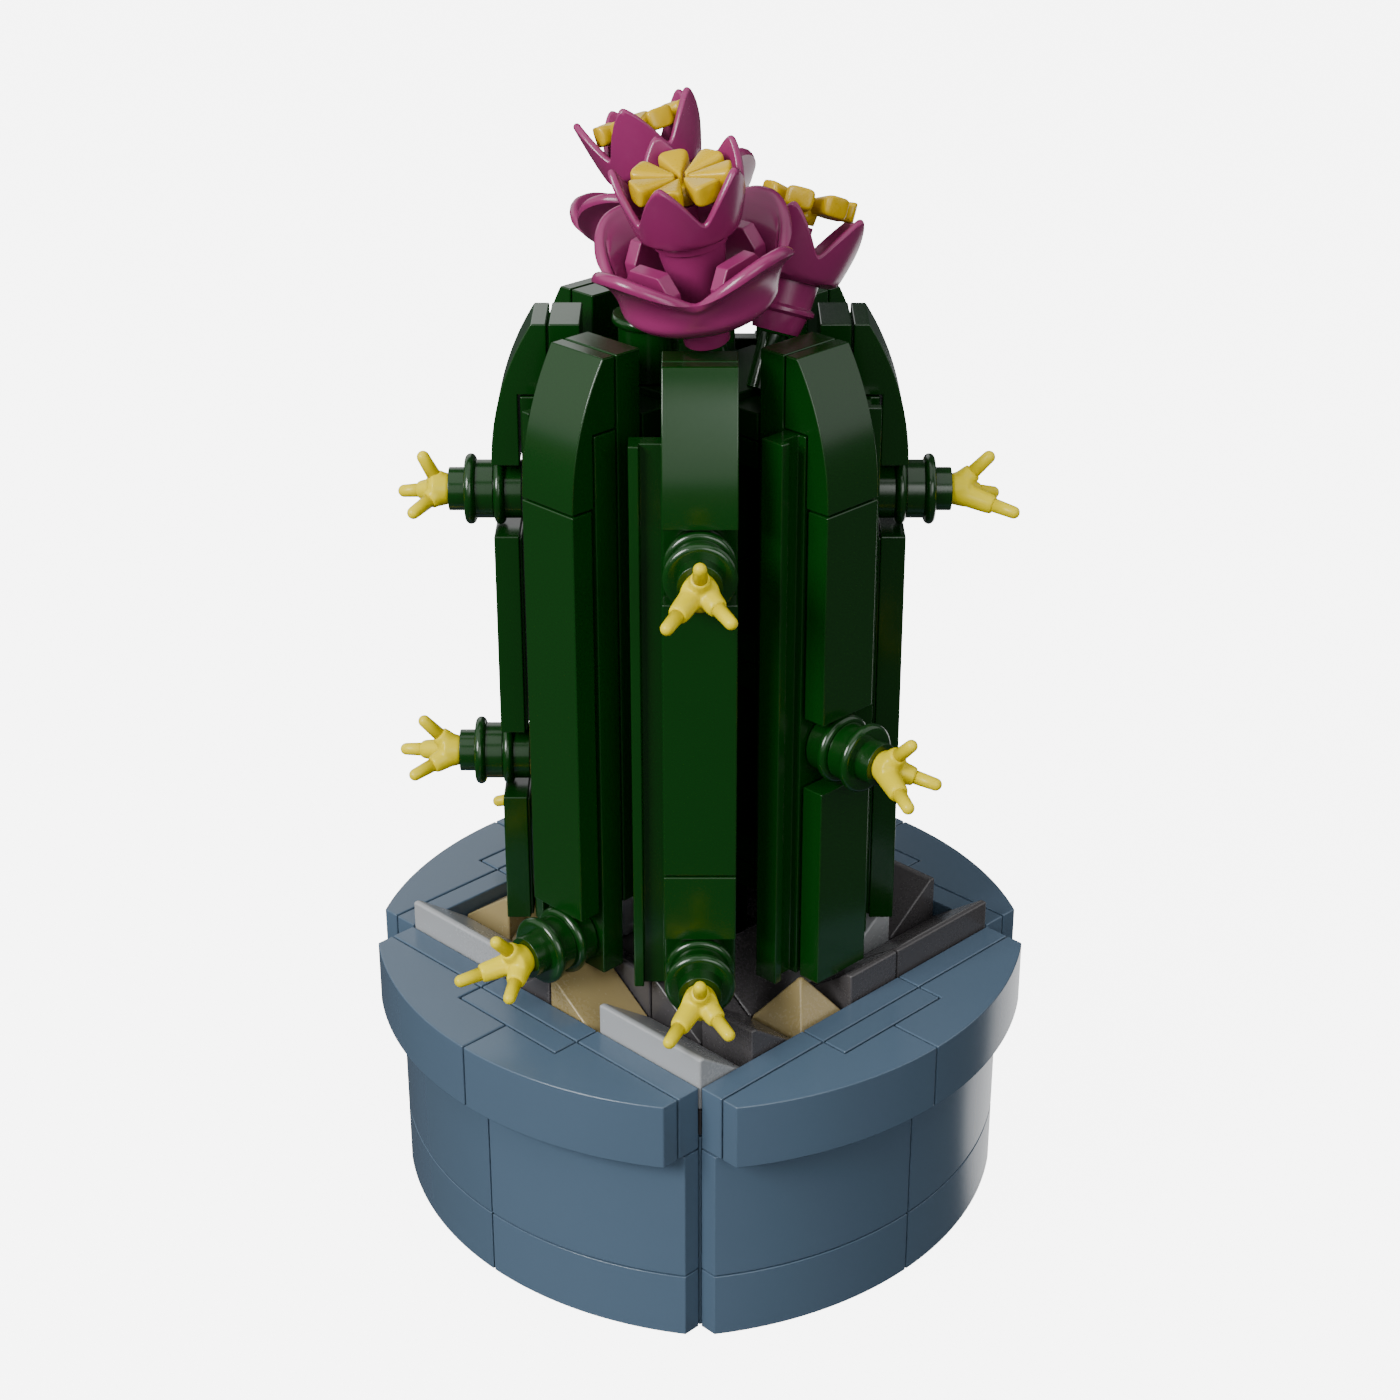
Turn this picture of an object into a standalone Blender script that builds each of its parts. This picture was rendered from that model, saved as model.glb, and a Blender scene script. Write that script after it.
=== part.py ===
# Toy column cactus made of interlocking bricks, in a round blue-grey pot
# Metres, +Z up. The origin is under the middle of the pot, on the surface it stands on.
# A corner of the pot's square core points to -Y, and so does the front rib.
import math

import bmesh
import bpy
from mathutils import Matrix, Vector

MM = 0.001

# Driving dimensions of the brick system
MODULE = 8.0 * MM
PLATE = 3.2 * MM
CLEAR = 0.1 * MM       # play on each side of every brick
SEAT = 0.25 * MM       # gap between pieces that are seated on each other
SUNK = 0.6 * MM        # how far a root runs into what carries it

# Pot
CORE_HALF = 3 * MODULE                # half the square that the pot is built round
POT_BANDS = (("lower_band", 0.0, MODULE), ("upper_band", MODULE, 3 * MODULE))
RIM_LOW = 3 * MODULE
RIM_TOP = 4 * MODULE
BAND_BULGE = 9.6 * MM                 # thickness of a curved slope at its high end
SLOPE_LENGTH = 3 * MODULE
SLOPE_THIN = 2.1 * MM                 # thickness of a curved slope at its low end
RIM_OUT = PLATE                       # how far the rim stands out past the bands
TUB_WALL = MODULE
TUB_FLOOR = PLATE
BED_LOW = 25.6 * MM
BED_TOP = 28.8 * MM

# Stones
STONE_TOP = 35.2 * MM
STONE_LOW = 30.1 * MM
STONE_LIP = 0.7 * MM

# Trunk
FOOT_HALF = 0.5 * MODULE
TRUNK_HALF = MODULE
TRUNK_LOW = 43.2 * MM
TRUNK_TOP = 100.8 * MM
COLLAR_REACH = 12.3 * MM
COLLAR_STEP = 0.05 * MM               # arms that cross end at slightly different heights
HOLDER_R = 1.55 * MM
HOLDER_SUNK = 2.0 * MM
HOLDER_A = (0.75 * MM, -10.8 * MM)    # upright peg behind the front rib, under flower A
HOLDER_A_TOP = 107.4 * MM
SPARE_CUP = (-5.45 * MM, -2.0 * MM)   # unused round plate on top of the trunk
SPARE_CUP_TOP = 107.8 * MM
SPARE_HOLE_R = 2.4 * MM
SPARE_HOLE_DEEP = 1.5 * MM
COLLARS = ((43.2 * MM, 49.6 * MM), (68.0 * MM, 74.4 * MM), (93.6 * MM, 100.0 * MM))

# Ribs: radius of each layer, from the inside out, and heights
RIB_HALF = 0.5 * MODULE - CLEAR
LAYERS = (12.6 * MM, 16.0 * MM, 19.2 * MM, 22.4 * MM)
RAIL_OUT = 7.3 * MM
RAIL_LIP = 1.1 * MM
RAIL_FLOOR = 18.1 * MM
RIB_LOW = 35.2 * MM
INNER_LOW = 43.2 * MM
RAIL_TOP = 99.2 * MM
SLOPE_LOW = 91.2 * MM
RIB_TOP = 107.2 * MM
SLOPE_RADIUS = 29.6 * MM
SPINE_HALF = 2.0 * MM
SPINE_DEEP = 1.0 * MM

# Areoles: two flanged round plates with a stud
BODY_R = 3.2 * MM
FLANGE_R = 3.875 * MM
FLANGE_TALL = 1.2 * MM
STUD_R = 2.375 * MM
STUD_TALL = 1.8 * MM

# Prongs
PALM_R = 1.75 * MM
PALM_TALL = 2.1 * MM
PALM_FLARE = 1.25
FINGER_ROOT = (0.5 * MM, 1.2 * MM)    # off the prong's axis, and above the palm's foot
FINGERS = ((90, 3.67, 31.4), (205, 3.57, 34.0), (332, 3.46, 32.4))    # turn, spread and reach of each tip, mm
PUSHED_IN = 1.3 * MM                  # how much further in the left upper prong stands
FINGER_BALL = 0.7 * MM
FINGER_STEP = 2.0 * MM                # length of the thin end

# What stands on each rib's face: azimuth in degrees, tiles (low, high) and heights of the areoles
FACES = (
    (0, ((51.2, 83.2), (43.2, 51.2)), (87.2, 39.2)),
    (45, ((67.2, 91.2), (35.2, 59.2)), (63.2,)),
    (90, ((35.2, 83.2),), (87.2,)),
    (135, ((83.2, 91.2), (35.2, 75.2)), (79.2,)),
    (180, ((51.2, 83.2), (35.2, 43.2)), (87.2, 47.2)),
    (-135, ((43.2, 91.2),), (39.2,)),
    (-90, ((59.2, 83.2), (35.2, 51.2)), (87.2, 55.2)),
    (-45, ((43.2, 91.2),), (39.2,)),
)
PUSHED_IN_AT = (-90, 87.2)

# Flowers: foot of the stem, lean to -X and to -Y in degrees, turn of the petals, length to the petal tips
FLOWER_A = ((0.75, -12.0, 108.0), (8.55, 9.6), -107.6, 19.95)
FLOWER_B = ((-0.9, 8.0, 108.0), (18.3, -12.1), 191.0, 19.95)
FLOWER_C = ((7.9, -2.8, 106.0), (-14.9, -17.2), -107.5, 13.3)
SKIRT_TURN_A = 44.1
SKIRT_TURN_B = 57.0
CENTRE_DROP = 2.9 * MM            # underside of a yellow centre below the petal tips
CENTRE_DROP_C = 0.2 * MM
CUP_PETALS = 5
CUP_TALL = 7.8 * MM
CUP_VALLEY = 3.1 * MM
CUP_BASE_R = 4.9 * MM
CUP_TIP_R = 7.1 * MM
CUP_WALL = 0.8 * MM
CUP_FLARE = 0.75
CUP_LEVELS = (0.0, 0.2, 0.42, 0.7, 1.0)
CUP_SHARP = 1.2                   # how sharply a cup's petal ends
POST_R = 1.2 * MM
NECK_R = 3.4 * MM
STEM_R = 2.4 * MM
# Radius and height of each corner under a cup, in mm
CONE_STEM = ((3.4, 0), (3.4, -1.95), (2.4, -7.1), (2.4, -8.1), (0, -8.1))
BARREL_STEM = ((3.3, 0), (3.1, -2.5), (3.6, -2.7), (3.6, -3.3), (3.0, -3.5), (2.5, -5.5), (0, -5.5))
SKIRT_PETALS = 4
SKIRT_LOW = 2.2 * MM
SKIRT_WALL = 1.0 * MM
# Radius of the petal tips, and height of them, of the notches between them and of the turns of the wall
SKIRT_TIPS_A = (11.5 * MM, 11.5 * MM, 12.8 * MM, 12.8 * MM)
SKIRT_TIPS_B = (12.0 * MM, 12.0 * MM, 12.0 * MM, 12.0 * MM)
SKIRT_TIP_TALL = 12.8 * MM
SKIRT_NOTCH_R = 8.9 * MM
SKIRT_NOTCH_TALL = 8.3 * MM
SKIRT_UNDER_TALL = 4.2 * MM
SKIRT_CORNER_TALL = 5.6 * MM
SKIRT_WAIST_TALL = 8.25 * MM
# Radius at the corner under the wall and at the wall's waist, below a petal and below a notch
SKIRT_CORNER_R = (8.4 * MM, 8.0 * MM)
SKIRT_WAIST_R = (7.8 * MM, 8.7 * MM)
# How sharply a petal ends: its lip's height, its lip's radius and the wall below it
LIP_RISE_SHARP = 1.25
LIP_REACH_SHARP = 1.43
WALL_SHARP = 1.8
# Levels along the curve under the wall, and along the wall
UNDER_LEVELS = (0.0, 0.35, 0.7)
WALL_LEVELS = (0.0, 0.3, 0.65, 1.0)
SKIRT_FLOOR_POINTS = 4            # points of the outside line over which the wall turns upright
INNER_PETAL_R = 6.1 * MM
INNER_PETAL_LOW = 4.7 * MM
INNER_PETAL_HALF = 3.3 * MM
INNER_PETAL_TOP = 10.6 * MM
INNER_PETAL_CORNER = 2.0 * MM
INNER_PETAL_THICK = 1.6 * MM
CENTRE_PETALS = 7
CENTRE_R = 5.25 * MM
CENTRE_TALL = 1.6 * MM
CENTRE_HUB = 1.6 * MM
CENTRE_HUB_R = 1.4 * MM
CENTRE_NOTCH_R = 1.7 * MM
CENTRE_BEVEL = 0.4 * MM
CENTRE_DIMPLE = 0.3 * MM
# Corners of a petal from the notch on, as (share of a step, share of the petals' radius)
CENTRE_CORNERS = ((-0.38, 0.9), (0.0, 1.0), (0.38, 0.9))
CENTRE_NOTCH = -0.5               # share of a step at which a notch stands
CENTRE_NARROW = 0.7               # how much narrower the bevelled rings are

GREEN = (0.004, 0.05, 0.006)
BLUE_GREY = (0.072, 0.125, 0.19)
MAGENTA = (0.36, 0.035, 0.16)
YELLOW = (0.9, 0.6, 0.02)
PALE_YELLOW = (0.85, 0.75, 0.16)
STONE_GREY = (0.13, 0.12, 0.11)


def remove_everything():
    for obj in list(bpy.data.objects):
        bpy.data.objects.remove(obj, do_unlink=True)


def new_collection(name):
    collection = bpy.data.collections.new(name)
    bpy.context.scene.collection.children.link(collection)
    return collection


def plastic(name, color, roughness=0.25):
    material = bpy.data.materials.new(name)
    material.use_nodes = True
    shader = material.node_tree.nodes["Principled BSDF"]
    shader.inputs["Base Color"].default_value = (*color, 1.0)
    shader.inputs["Roughness"].default_value = roughness
    shader.inputs["Metallic"].default_value = 0.0
    return material


# Shapes

def object_from(bm, name):
    mesh = bpy.data.meshes.new(name)
    bm.to_mesh(mesh)
    bm.free()
    obj = bpy.data.objects.new(name, mesh)
    bpy.context.scene.collection.objects.link(obj)
    return obj


def box(name, low, high):
    bm = bmesh.new()
    bmesh.ops.create_cube(bm, size=1.0)
    low = Vector(low)
    high = Vector(high)
    bmesh.ops.scale(bm, vec=high - low, verts=bm.verts)
    bmesh.ops.translate(bm, vec=(low + high) / 2, verts=bm.verts)
    return object_from(bm, name)


def cone(name, radius_low, radius_high, low, high, sides):
    bm = bmesh.new()
    bmesh.ops.create_cone(
        bm, cap_ends=True, segments=sides, radius1=radius_low, radius2=radius_high, depth=high - low
    )
    bmesh.ops.translate(bm, vec=(0, 0, (low + high) / 2), verts=bm.verts)
    return object_from(bm, name)


def settled(obj):
    """Make the evaluated shape the object's own mesh, with its loose caps welded."""
    bpy.context.view_layer.update()
    depsgraph = bpy.context.evaluated_depsgraph_get()
    mesh = bpy.data.meshes.new_from_object(obj.evaluated_get(depsgraph))
    bm = bmesh.new()
    bm.from_mesh(mesh)
    bmesh.ops.remove_doubles(bm, verts=bm.verts, dist=0.001 * MM)
    bm.to_mesh(mesh)
    bm.free()
    result = bpy.data.objects.new(obj.name, mesh)
    result.matrix_world = obj.matrix_world.copy()
    bpy.context.scene.collection.objects.link(result)
    name = obj.name
    bpy.data.objects.remove(obj, do_unlink=True)
    result.name = name
    return result


def extruded(name, outline, low, high):
    """A flat outline in X and Y, as a solid from low to high in Z."""
    curve = bpy.data.curves.new(name, "CURVE")
    curve.dimensions = "2D"
    curve.fill_mode = "BOTH"
    curve.extrude = (high - low) / 2
    spline = curve.splines.new("POLY")
    spline.points.add(len(outline) - 1)
    for point, (x, y) in zip(spline.points, outline):
        point.co = (x, y, 0.0, 1.0)
    spline.use_cyclic_u = True
    obj = bpy.data.objects.new(name, curve)
    bpy.context.scene.collection.objects.link(obj)
    obj.location.z = (low + high) / 2
    return move(settled(obj), Matrix.Identity(4))


def turned(name, profile, steps):
    """A profile of (radius, height), from the top middle down its outer side, turned about Z."""
    bm = bmesh.new()
    verts = [bm.verts.new((radius, 0, height)) for radius, height in profile]
    for first, second in zip(verts, verts[1:]):
        bm.edges.new((first, second))
    obj = object_from(bm, name)
    screw = obj.modifiers.new("Screw", "SCREW")
    screw.steps = steps
    screw.render_steps = steps
    screw.use_merge_vertices = True
    screw.merge_threshold = 0.001 * MM
    return settled(obj)


def union(name, pieces, solver="EXACT"):
    """One body from pieces that run into each other."""
    first = pieces[0]
    group = bpy.data.collections.new(name + "_pieces")
    for piece in pieces[1:]:
        group.objects.link(piece)
    boolean = first.modifiers.new("Union", "BOOLEAN")
    boolean.operand_type = "COLLECTION"
    boolean.operation = "UNION"
    boolean.solver = solver
    boolean.collection = group
    result = settled(first)
    for piece in list(group.objects):
        bpy.data.objects.remove(piece, do_unlink=True)
    bpy.data.collections.remove(group)
    result.name = name
    return result


def arc(centre, radius, start, end, count):
    """Points on an arc in degrees, both ends included."""
    points = []
    for index in range(count + 1):
        angle = math.radians(start + (end - start) * index / count)
        points.append((centre[0] + radius * math.cos(angle), centre[1] + radius * math.sin(angle)))
    return points


def move(obj, matrix):
    """Move an object's mesh, and leave its origin where it was."""
    obj.data.transform(matrix @ obj.matrix_world)
    obj.matrix_world = Matrix.Identity(4)
    return obj


def placed(obj, name, collection, material, matrix):
    obj.name = name
    obj.data.name = name
    obj.matrix_world = matrix
    if not obj.data.materials:
        obj.data.materials.append(material)
    for old in list(obj.users_collection):
        old.objects.unlink(obj)
    collection.objects.link(obj)
    return obj


def copy_of(obj):
    copy = bpy.data.objects.new(obj.name, obj.data)
    bpy.context.scene.collection.objects.link(copy)
    return copy


def turn(degrees):
    return Matrix.Rotation(math.radians(degrees), 4, "Z")


def outward(azimuth, height):
    """Frame whose Z points out of the cactus at an azimuth, from the axis at that height."""
    facing = Matrix.Rotation(math.radians(90), 4, "X")
    return turn(azimuth) @ Matrix.Translation((0, 0, height)) @ facing


# In a profile frame, X runs outward from the cactus and Y upward, and the solid is as wide as the rib
PROFILE_FRAME = Matrix(((0, 0, -1, 0), (-1, 0, 0, 0), (0, 1, 0, 0), (0, 0, 0, 1)))


# Pot

def slope_arc(middle, high, low_end, count=12):
    """Convex outer side of a curved slope pair's one half, from its high end to its low end."""
    drop = high - low_end
    radius = (SLOPE_LENGTH ** 2 + drop ** 2) / (2 * drop)
    centre = (middle, -(high - radius))
    sweep = math.degrees(math.asin((SLOPE_LENGTH - CLEAR) / radius))
    first = math.degrees(math.asin(CLEAR / radius))
    return arc(centre, radius, -90 + first, -90 + sweep, count)


def band_side(name, low, high):
    """Two mirrored curved slopes on one side of the pot, held together behind their seam."""
    inner = -(CORE_HALF + CLEAR)
    outer = CORE_HALF + BAND_BULGE
    right = slope_arc(0.0, outer, CORE_HALF + SLOPE_THIN)
    right = [(CLEAR, inner)] + right + [(SLOPE_LENGTH - CLEAR, inner)]
    left = [(-x, y) for x, y in reversed(right)]
    base = low + (CLEAR if low > 0 else 0)
    pieces = [extruded(name, right, base, high - CLEAR), extruded(name, left, base, high - CLEAR)]
    link_low = (-MODULE / 4, inner - 2 * SUNK, base + SUNK)
    link_high = (MODULE / 4, inner - SUNK, high - MODULE / 4)
    pieces.append(box(name, link_low, link_high))
    return union(name, pieces)


def rim_slope(name, mirrored):
    """Curved slope of the rim, cut back at its high end for the second plate."""
    step = CORE_HALF + 2 * PLATE
    plate = CORE_HALF + PLATE
    outer = CORE_HALF + BAND_BULGE + RIM_OUT
    outline = [(MODULE + CLEAR, -(plate + CLEAR)), (MODULE + CLEAR, -(step + CLEAR)), (CLEAR, -(step + CLEAR))]
    outline += slope_arc(0.0, outer, CORE_HALF + SLOPE_THIN + RIM_OUT)
    outline += [(SLOPE_LENGTH - CLEAR, -(plate + CLEAR))]
    if mirrored:
        outline = [(-x, y) for x, y in reversed(outline)]
    return extruded(name, outline, RIM_LOW + CLEAR, RIM_TOP - CLEAR)


def rim_plates(name):
    """Three plates in a row and a second one before the middle, set on edge, held together behind."""
    pieces = []
    inner = -(CORE_HALF + CLEAR)
    outer = -(CORE_HALF + PLATE - CLEAR)
    low = RIM_LOW + CLEAR
    high = RIM_TOP - CLEAR
    for start in (-3, -1, 1):
        left = start * MODULE + CLEAR
        right = (start + 2) * MODULE - CLEAR
        pieces.append(box(name, (left, outer, low), (right, inner, high)))
    second_far = outer - PLATE
    pieces.append(box(name, (-MODULE + CLEAR, second_far, low), (MODULE - CLEAR, outer - 2 * CLEAR, high)))
    pieces.append(box(name, (-2 * MODULE, outer + SUNK, low + SUNK), (2 * MODULE, inner - SUNK, high - MODULE / 4)))
    pieces.append(box(name, (-MODULE / 2, outer - 2 * SUNK, low + SUNK), (MODULE / 2, outer + SUNK, high - MODULE / 4)))
    return union(name, pieces)


def tub():
    """Square block of bricks that the pot's sides are fastened to, open at the top."""
    half = CORE_HALF - CLEAR
    inside = half - TUB_WALL
    high = BED_LOW - SEAT
    profile = [(0, TUB_FLOOR), (inside, TUB_FLOOR), (inside, high), (half, high), (half, 0), (0, 0)]
    corner = math.sqrt(2)
    profile = [(radius * corner, height) for radius, height in profile]
    return turned("pot_core", profile, 4)


# Stones in the frame of the pot's square: first column, first row, columns, rows, and the direction in
# degrees that the high side faces, or None for a pyramid. A row's places are in modules from the middle.
STONES = (
    (1, -3, 2, 1, 270), (-3, -3, 2, 1, 270), (0, -3, 1, 1, 180), (-1, -3, 1, 1, 0),
    (1, -2, 1, 1, 180), (2, -2, 1, 1, 270), (2, -1, 1, 1, None), (2, 0, 1, 1, 0),
    (2, 1, 1, 2, 0), (1, 1, 1, 1, 90), (0, 2, 2, 1, 90), (-3, -2, 1, 1, 0),
    (-2, -2, 1, 1, 90), (-1, -2, 2, 1, 270), (-3, -1, 1, 1, None), (-2, -1, 1, 2, 180),
    (1, -1, 1, 2, 180), (-3, 0, 1, 1, 90), (-3, 1, 1, 2, 180), (-2, 1, 1, 1, None),
    (-1, 1, 2, 1, 90), (-2, 2, 2, 1, 270),
)


def stone(column, row, columns, rows, high_side):
    low_x = column * MODULE + CLEAR
    low_y = row * MODULE + CLEAR
    high_x = (column + columns) * MODULE - CLEAR
    high_y = (row + rows) * MODULE - CLEAR
    middle = Matrix.Translation(((low_x + high_x) / 2, (low_y + high_y) / 2, 0))
    base = BED_TOP - SUNK
    if high_side is None:
        half = (high_x - low_x) / 2
        foot = box("stone", (-half, -half, base), (half, half, STONE_LOW))
        peak = cone("stone", (half - CLEAR) * math.sqrt(2), STONE_LIP, 0, STONE_TOP - STONE_LOW + SUNK, 4)
        move(peak, Matrix.Translation((0, 0, STONE_LOW - SUNK)) @ turn(45))
        return move(union("stone", [foot, peak]), middle)
    across, along = (high_x - low_x) / 2, (high_y - low_y) / 2
    if high_side in (90, 270):
        across, along = along, across
    outline = [(-across, base), (across, base), (across, STONE_TOP), (across - STONE_LIP, STONE_TOP),
               (-across, STONE_LOW)]
    wedge = extruded("stone", outline, -along, along)
    return move(wedge, middle @ turn(high_side) @ Matrix.Rotation(math.radians(90), 4, "X"))


def stone_bed():
    """Deck with a hole for the trunk's foot, and the stones on it."""
    half = CORE_HALF - CLEAR
    hole = FOOT_HALF + SEAT
    profile = [(half, BED_LOW), (hole, BED_LOW), (hole, BED_TOP), (half, BED_TOP), (half, BED_LOW)]
    profile = [(radius * math.sqrt(2), height) for radius, height in profile]
    deck = move(turned("stone_bed", profile, 4), turn(45))
    return union("stone_bed", [deck] + [stone(*entry) for entry in STONES])


# Trunk

def peg(low, high):
    """Round peg between two points."""
    low = Vector(low)
    high = Vector(high)
    aim = (high - low).to_track_quat("Z", "Y").to_matrix().to_4x4()
    rod = cone("peg", HOLDER_R, HOLDER_R, 0, (high - low).length, 12)
    return move(rod, Matrix.Translation(low) @ aim)


def spare_cup():
    """Round plate with a flange and an open top."""
    top = SPARE_CUP_TOP
    floor = top - SPARE_HOLE_DEEP
    profile = [(0, floor), (SPARE_HOLE_R, floor), (SPARE_HOLE_R, top)]
    profile += [(FLANGE_R, top), (FLANGE_R, top - FLANGE_TALL)]
    profile += [(BODY_R, top - 1.2 * FLANGE_TALL), (BODY_R, TRUNK_TOP - SUNK), (0, TRUNK_TOP - SUNK)]
    return move(turned("spare_cup", profile, 14), Matrix.Translation((*SPARE_CUP, 0)))


def trunk():
    """Square column on a narrower foot, with collars under the ribs and a peg for each flower."""
    foot = box("trunk", (-FOOT_HALF, -FOOT_HALF, TUB_FLOOR + SEAT), (FOOT_HALF, FOOT_HALF, TRUNK_LOW + SUNK))
    column = box("trunk", (-TRUNK_HALF, -TRUNK_HALF, TRUNK_LOW), (TRUNK_HALF, TRUNK_HALF, TRUNK_TOP))
    pieces = [move(column, turn(45)), move(foot, turn(45)), spare_cup()]
    for low, high in COLLARS:
        for index in range(4):
            arm_top = high - index * COLLAR_STEP
            arm = box("trunk", (-RIB_HALF, -COLLAR_REACH, low), (RIB_HALF, COLLAR_REACH, arm_top))
            pieces.append(move(arm, turn(45 * index)))
    pieces.append(peg((*HOLDER_A, TRUNK_TOP - HOLDER_SUNK), (*HOLDER_A, HOLDER_A_TOP)))
    for flower in (FLOWER_B, FLOWER_C):
        frame = flower_frame(flower)
        depth = flower[0][2] * MM - TRUNK_TOP + HOLDER_SUNK
        pieces.append(peg(frame @ Vector((0, 0, -depth)), frame @ Vector((0, 0, -SEAT))))
    return union("trunk", pieces)


# Ribs

def rib_back():
    """Inner plate and plate with a side rail, held together behind their seam."""
    inner, middle, outer, _ = LAYERS
    edge = RIB_HALF
    outline = [
        (-RAIL_OUT, -(middle + CLEAR)), (-RAIL_OUT, -(outer - CLEAR)), (-RAIL_OUT + RAIL_LIP, -(outer - CLEAR)),
        (-RAIL_OUT + RAIL_LIP, -RAIL_FLOOR), (-edge, -RAIL_FLOOR), (-edge, -(outer - CLEAR)),
        (edge, -(outer - CLEAR)), (edge, -(middle + CLEAR)),
    ]
    rail = extruded("rib_back", outline, RIB_LOW + CLEAR, RAIL_TOP - CLEAR)
    plate = box("rib_back", (-edge, -(middle - CLEAR), INNER_LOW + CLEAR), (edge, -inner, RIB_TOP - CLEAR))
    link = box(
        "rib_back",
        (-edge + SUNK, -(middle + SUNK), INNER_LOW + SUNK),
        (edge - SUNK, -(middle - SUNK), RAIL_TOP - SUNK),
    )
    return union("rib_back", [rail, plate, link])


def areole(height):
    """Two flanged round plates and their stud, lying along the outward axis."""
    seat = LAYERS[2] + CLEAR + CLEAR / 2
    first = LAYERS[3]
    second = first + PLATE
    top = second + STUD_TALL
    rim = FLANGE_TALL / 4
    profile = [(0, top), (STUD_R, top), (STUD_R, second), (BODY_R, second)]
    for face in (second, first):
        profile += [(FLANGE_R, face - rim), (FLANGE_R, face - 3 * rim), (BODY_R, face - FLANGE_TALL)]
    profile += [(BODY_R, seat), (0, seat)]
    plates = turned("areole", profile, 12)
    return move(plates, outward(0, height))


def rib_face(tiles, areoles):
    """Curved top slope, tiles and areoles of one rib, held together by a thin strip behind them."""
    seat = LAYERS[2] + CLEAR + CLEAR / 2
    outer = LAYERS[3]
    upper_seat = LAYERS[1] + CLEAR + CLEAR / 2
    centre = (outer - SLOPE_RADIUS, SLOPE_LOW)
    sweep = math.degrees(math.asin((RIB_TOP - CLEAR - SLOPE_LOW) / SLOPE_RADIUS))
    outline = [(seat, SLOPE_LOW + CLEAR)] + arc(centre, SLOPE_RADIUS, 0.2, sweep, 10)
    outline += [(upper_seat, RIB_TOP - CLEAR), (upper_seat, RAIL_TOP + CLEAR), (seat, RAIL_TOP + CLEAR)]
    slope = extruded("rib_face", outline, -RIB_HALF, RIB_HALF)
    move(slope, PROFILE_FRAME)
    pieces = [slope]
    for low, high in tiles:
        pieces.append(box(
            "tile", (-RIB_HALF, -outer, low * MM + CLEAR), (RIB_HALF, -seat, high * MM - CLEAR)
        ))
    for height in areoles:
        pieces.append(areole(height * MM))
    heights = [low for low, _ in tiles] + list(areoles)
    spine_low = min(heights) * MM + 2 * SUNK
    pieces.append(box(
        "spine", (-SPINE_HALF, -(seat + SPINE_DEEP), spine_low), (SPINE_HALF, -(seat + CLEAR), RAIL_TOP - 2 * SUNK)
    ))
    return union("rib_face", pieces)


# Prongs

def prong(pushed_in=0.0):
    """Three fingers of unlike length with rounded tips, spread from a palm."""
    base = LAYERS[3] + PLATE + STUD_TALL + SEAT
    palm = cone("prong", PALM_R, PALM_FLARE * PALM_R, base, base + PALM_TALL, 10)
    pieces = [palm]
    for angle, spread, reach in FINGERS:
        root = Vector((FINGER_ROOT[0], 0, base + FINGER_ROOT[1]))
        tip = Vector((spread * MM, 0, reach * MM - pushed_in))
        length = (tip - root).length
        profile = [(0, length + FINGER_BALL)] + arc((0, length), FINGER_BALL, 45, 0, 1)
        profile += [(1.2 * FINGER_BALL, length - FINGER_STEP), (1.6 * FINGER_BALL, 0), (0, 0)]
        aim = (tip - root).to_track_quat("Z", "Y").to_matrix().to_4x4()
        finger = turned("prong", profile, 7)
        pieces.append(move(finger, turn(angle) @ Matrix.Translation(root) @ aim))
    return union("prong", pieces)


# Flowers

def flower_frame(flower):
    """Frame on the stem's foot, with Z along the stem and the turn of the petals taken out."""
    foot, (lean_x, lean_y), _, _ = flower
    axis = Vector((-math.tan(math.radians(lean_x)), -math.tan(math.radians(lean_y)), 1.0)).normalized()
    side = Vector((0, 1, 0)).cross(axis).normalized()
    back = axis.cross(side)
    rows = [(side[i], back[i], axis[i], foot[i] * MM) for i in range(3)]
    return Matrix((*rows, (0, 0, 0, 1)))


def petal_share(angle, petals, sharpness):
    """1 in the middle of a petal, falling to 0 in the notch between two petals."""
    step = 2 * math.pi / petals
    off = (angle / step + 0.5) % 1.0 - 0.5
    return max(0.06, 1.0 - abs(2 * off) ** sharpness)


def cup_radius(height):
    return CUP_BASE_R + (CUP_TIP_R - CUP_BASE_R) * (height / CUP_TALL) ** CUP_FLARE


def petal_cup(name, post, stem):
    """Flat-bottomed cup with five pointed petals, with a post inside and a stem profile below."""
    profile = [(0, post), (POST_R, post), (POST_R, CUP_WALL)]
    profile += [(cup_radius(level * CUP_TALL) - CUP_WALL, max(level * CUP_TALL, CUP_WALL)) for level in CUP_LEVELS]
    profile += [(cup_radius(level * CUP_TALL), level * CUP_TALL) for level in reversed(CUP_LEVELS)]
    profile += [(radius * MM, height * MM) for radius, height in stem]
    cup = turned(name, profile, 6 * CUP_PETALS)
    for vert in cup.data.vertices:
        x, y, z = vert.co
        radius = math.hypot(x, y)
        if z <= CUP_VALLEY or radius < NECK_R:
            continue
        angle = math.atan2(y, x)
        share = petal_share(angle, CUP_PETALS, CUP_SHARP)
        new_z = CUP_VALLEY + (z - CUP_VALLEY) * share
        new_radius = radius + cup_radius(new_z) - cup_radius(z)
        vert.co = (new_radius * math.cos(angle), new_radius * math.sin(angle), new_z)
    return cup


def bend(first, middle, last, share):
    """Point on the curve that leaves first towards middle, and reaches last from there."""
    rest = 1.0 - share
    weights = (rest * rest, 2 * rest * share, share * share)
    return tuple(sum(w * p[i] for w, p in zip(weights, (first, middle, last))) for i in range(2))


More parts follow.
